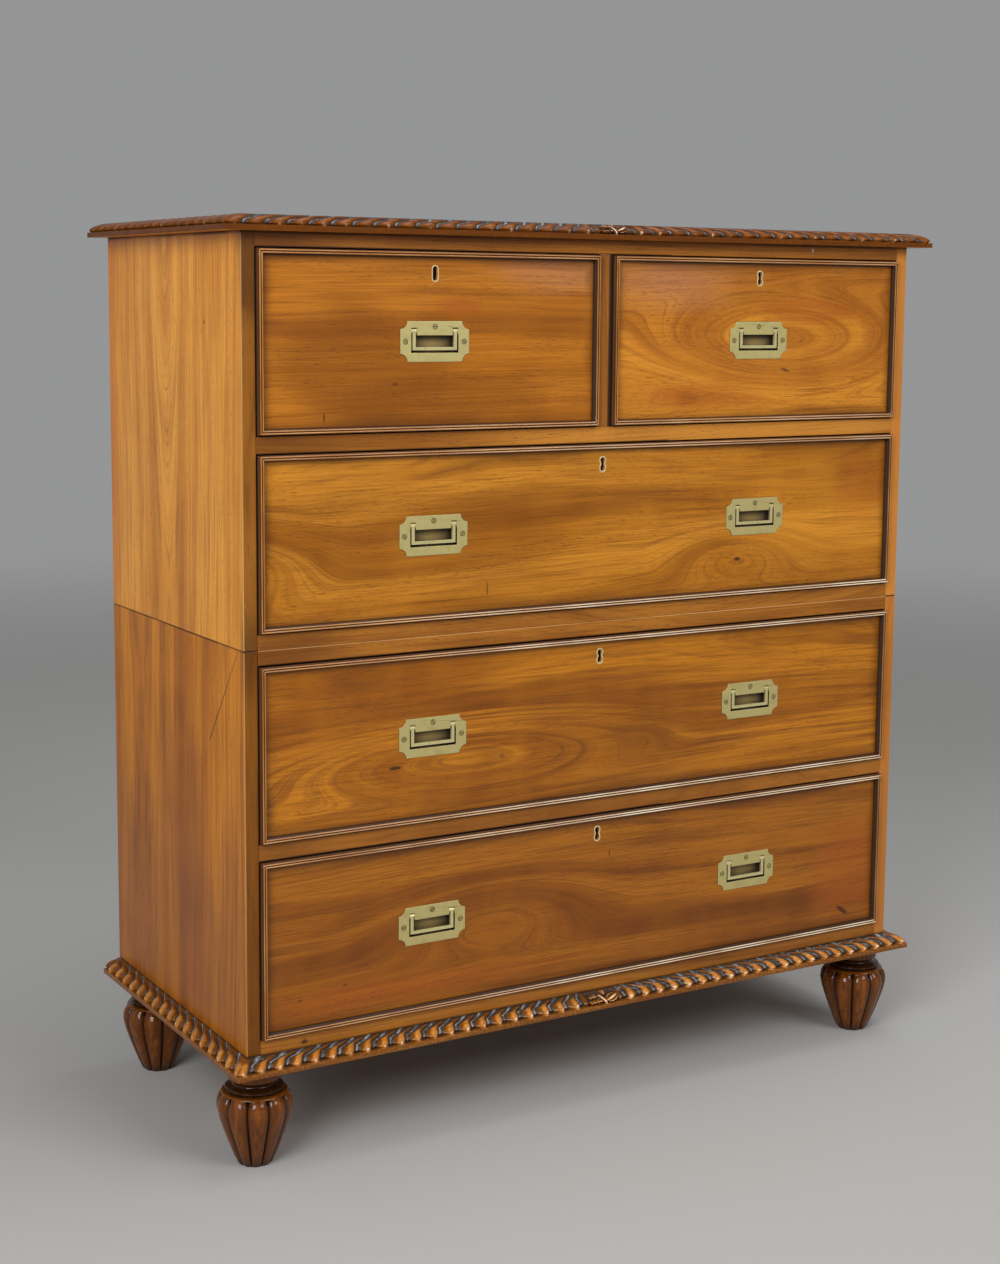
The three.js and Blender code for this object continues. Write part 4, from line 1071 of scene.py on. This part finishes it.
def screw_piece(name, x, y, z, turned):
    """A slotted countersunk head let into the plate, with its slot turned as it was left, in a dark ring
    that paints the shadow of its countersink."""
    half_slot = screw_slot_width / 2
    cut = math.asin(half_slot / screw_radius)
    half_sides = screw_sides // 2
    points, faces = [], []
    for side in (screw_radius, -screw_radius):
        faces += drum_faces(len(points), len(screw_depths), half_sides + 1)
        for depth, scale in screw_depths:
            for k in range(half_sides + 1):
                angle = cut + (math.pi - 2 * cut) * k / half_sides
                px, pz = math.cos(angle) * side, math.sin(angle) * side
                pz *= scale if abs(pz) > half_slot * 1.5 else 1
                points.append((px * scale, depth - screw_lift, pz))
    head_faces = len(faces)
    faces += drum_faces(len(points), len(screw_ring_depths), screw_sides)
    for depth in screw_ring_depths:
        for k in range(screw_sides):
            angle = 2 * math.pi * k / screw_sides
            ring_radius = screw_radius * screw_ring
            points.append((ring_radius * math.cos(angle), depth, ring_radius * math.sin(angle)))
    piece = new_piece(name, points, faces, screw_brass, screw_dirt)
    piece.data.transform(Matrix.Translation((x, y, z)) @ Matrix.Rotation(turned, 4, "Y"))
    for polygon in piece.data.polygons:
        polygon.material_index = int(polygon.index >= head_faces)
    return piece


random.seed(screw_seed)
for handle in sorted(name[:-len("_plate")] for name in nodes if name.endswith("_plate")):
    drawer = handle.replace("_left_handle", "").replace("_right_handle", "").replace("_handle", "")
    finish_cad(handle + "_plate", handle_brass, plate_arris)
    finish_cad(handle + "_bail", bail_brass, bail_arris)
    low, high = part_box(handle + "_plate")
    middle_x, middle_z = (low.x + high.x) / 2, (low.z + high.z) / 2
    plate = nodes[handle + "_plate"].data
    plate.materials.append(pan_metal(handle + "_pan", middle_x, middle_z))
    # The faces behind the plate's front, below the pivots, take the pan's painted shade.
    for polygon in plate.polygons:
        behind = polygon.center.y > low.y + plate_face_depth
        polygon.material_index = int(behind and polygon.center.z < middle_z + slot_shade_rise)
    places = {"top": (middle_x, high.z - screw_top_inset), "left": (low.x + screw_side_inset, middle_z),
              "right": (high.x - screw_side_inset, middle_z)}
    for place, (x, z) in places.items():
        screw = screw_piece(f"{handle}_{place}_screw", x, low.y, z, random.uniform(-screw_turn, screw_turn))
        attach(screw, drawer)

# Escutcheons. A thread of brass lines each keyhole, let into the front: a plain long slot on the top
# left drawer, and on the others a slot that draws in between its round ends.
keyhole_half_width, keyhole_half_height = 0.0034, 0.0088
keyhole_waist = 0.0019
waist_rise, waist_reach = 0.0004, 0.0024
escutcheon_thread = 0.0018
plain_thread_share = 0.8
escutcheon_lift = 0.0003
escutcheon_depth = 0.0007
escutcheon_arris = 0.0002
escutcheon_steps = 40
escutcheon_bright = (0.8, 0.66, 0.36)
escutcheon_brass = old_brass("escutcheon_brass", escutcheon_bright, handle_bright, 0.3)


def slot_outline(half_width, half_height, waist):
    """Points round an upright slot with round ends, which draws in to its waist between them."""
    straight = half_height - half_width
    turns = [math.pi * (k + 0.5) / escutcheon_steps for k in range(escutcheon_steps)]
    outline = [(half_width * math.cos(turn), straight + half_width * math.sin(turn)) for turn in turns]
    outline += [(-half_width, straight - 2 * straight * k / escutcheon_steps)
                for k in range(1, escutcheon_steps)]
    outline += [(-x, -z) for x, z in outline]
    narrow = [math.exp(-((z - waist_rise) / waist_reach) ** 2) for _, z in outline]
    return [(x * (1 - share + share * waist / half_width), z) for (x, z), share in zip(outline, narrow)]


def ring_piece(name, inner, thread, x, y, z):
    """A flat ring of one width all round an outline."""
    outer = []
    for k, (px, pz) in enumerate(inner):
        before, after = inner[k - 2], inner[(k + 2) % len(inner)]
        way = Vector((after[0] - before[0], after[1] - before[1])).normalized()
        outer.append((px + way.y * thread, pz - way.x * thread))
    points = []
    for outline, level in ((outer, y - escutcheon_lift), (inner, y - escutcheon_lift),
                           (inner, y + escutcheon_depth), (outer, y + escutcheon_depth)):
        points += [(x + px, level, z + pz) for px, pz in outline]
    faces = grid_faces(4, len(inner), closed_rows=True, turned=True)
    piece = new_piece(name, points, faces, escutcheon_brass)
    ease_arrises(piece, escutcheon_arris)
    return piece


for drawer in drawer_names:
    low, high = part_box(drawer + "_front")
    plain = drawer == "top_left_drawer"
    keyhole_edge = slot_outline(keyhole_half_width, keyhole_half_height,
                                keyhole_half_width if plain else keyhole_waist)
    thread = escutcheon_thread * (plain_thread_share if plain else 1)
    escutcheon = ring_piece(drawer + "_escutcheon", keyhole_edge, thread, (low.x + high.x) / 2, front_face_y,
                            high.z - keyhole_drop)
    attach(escutcheon, drawer)
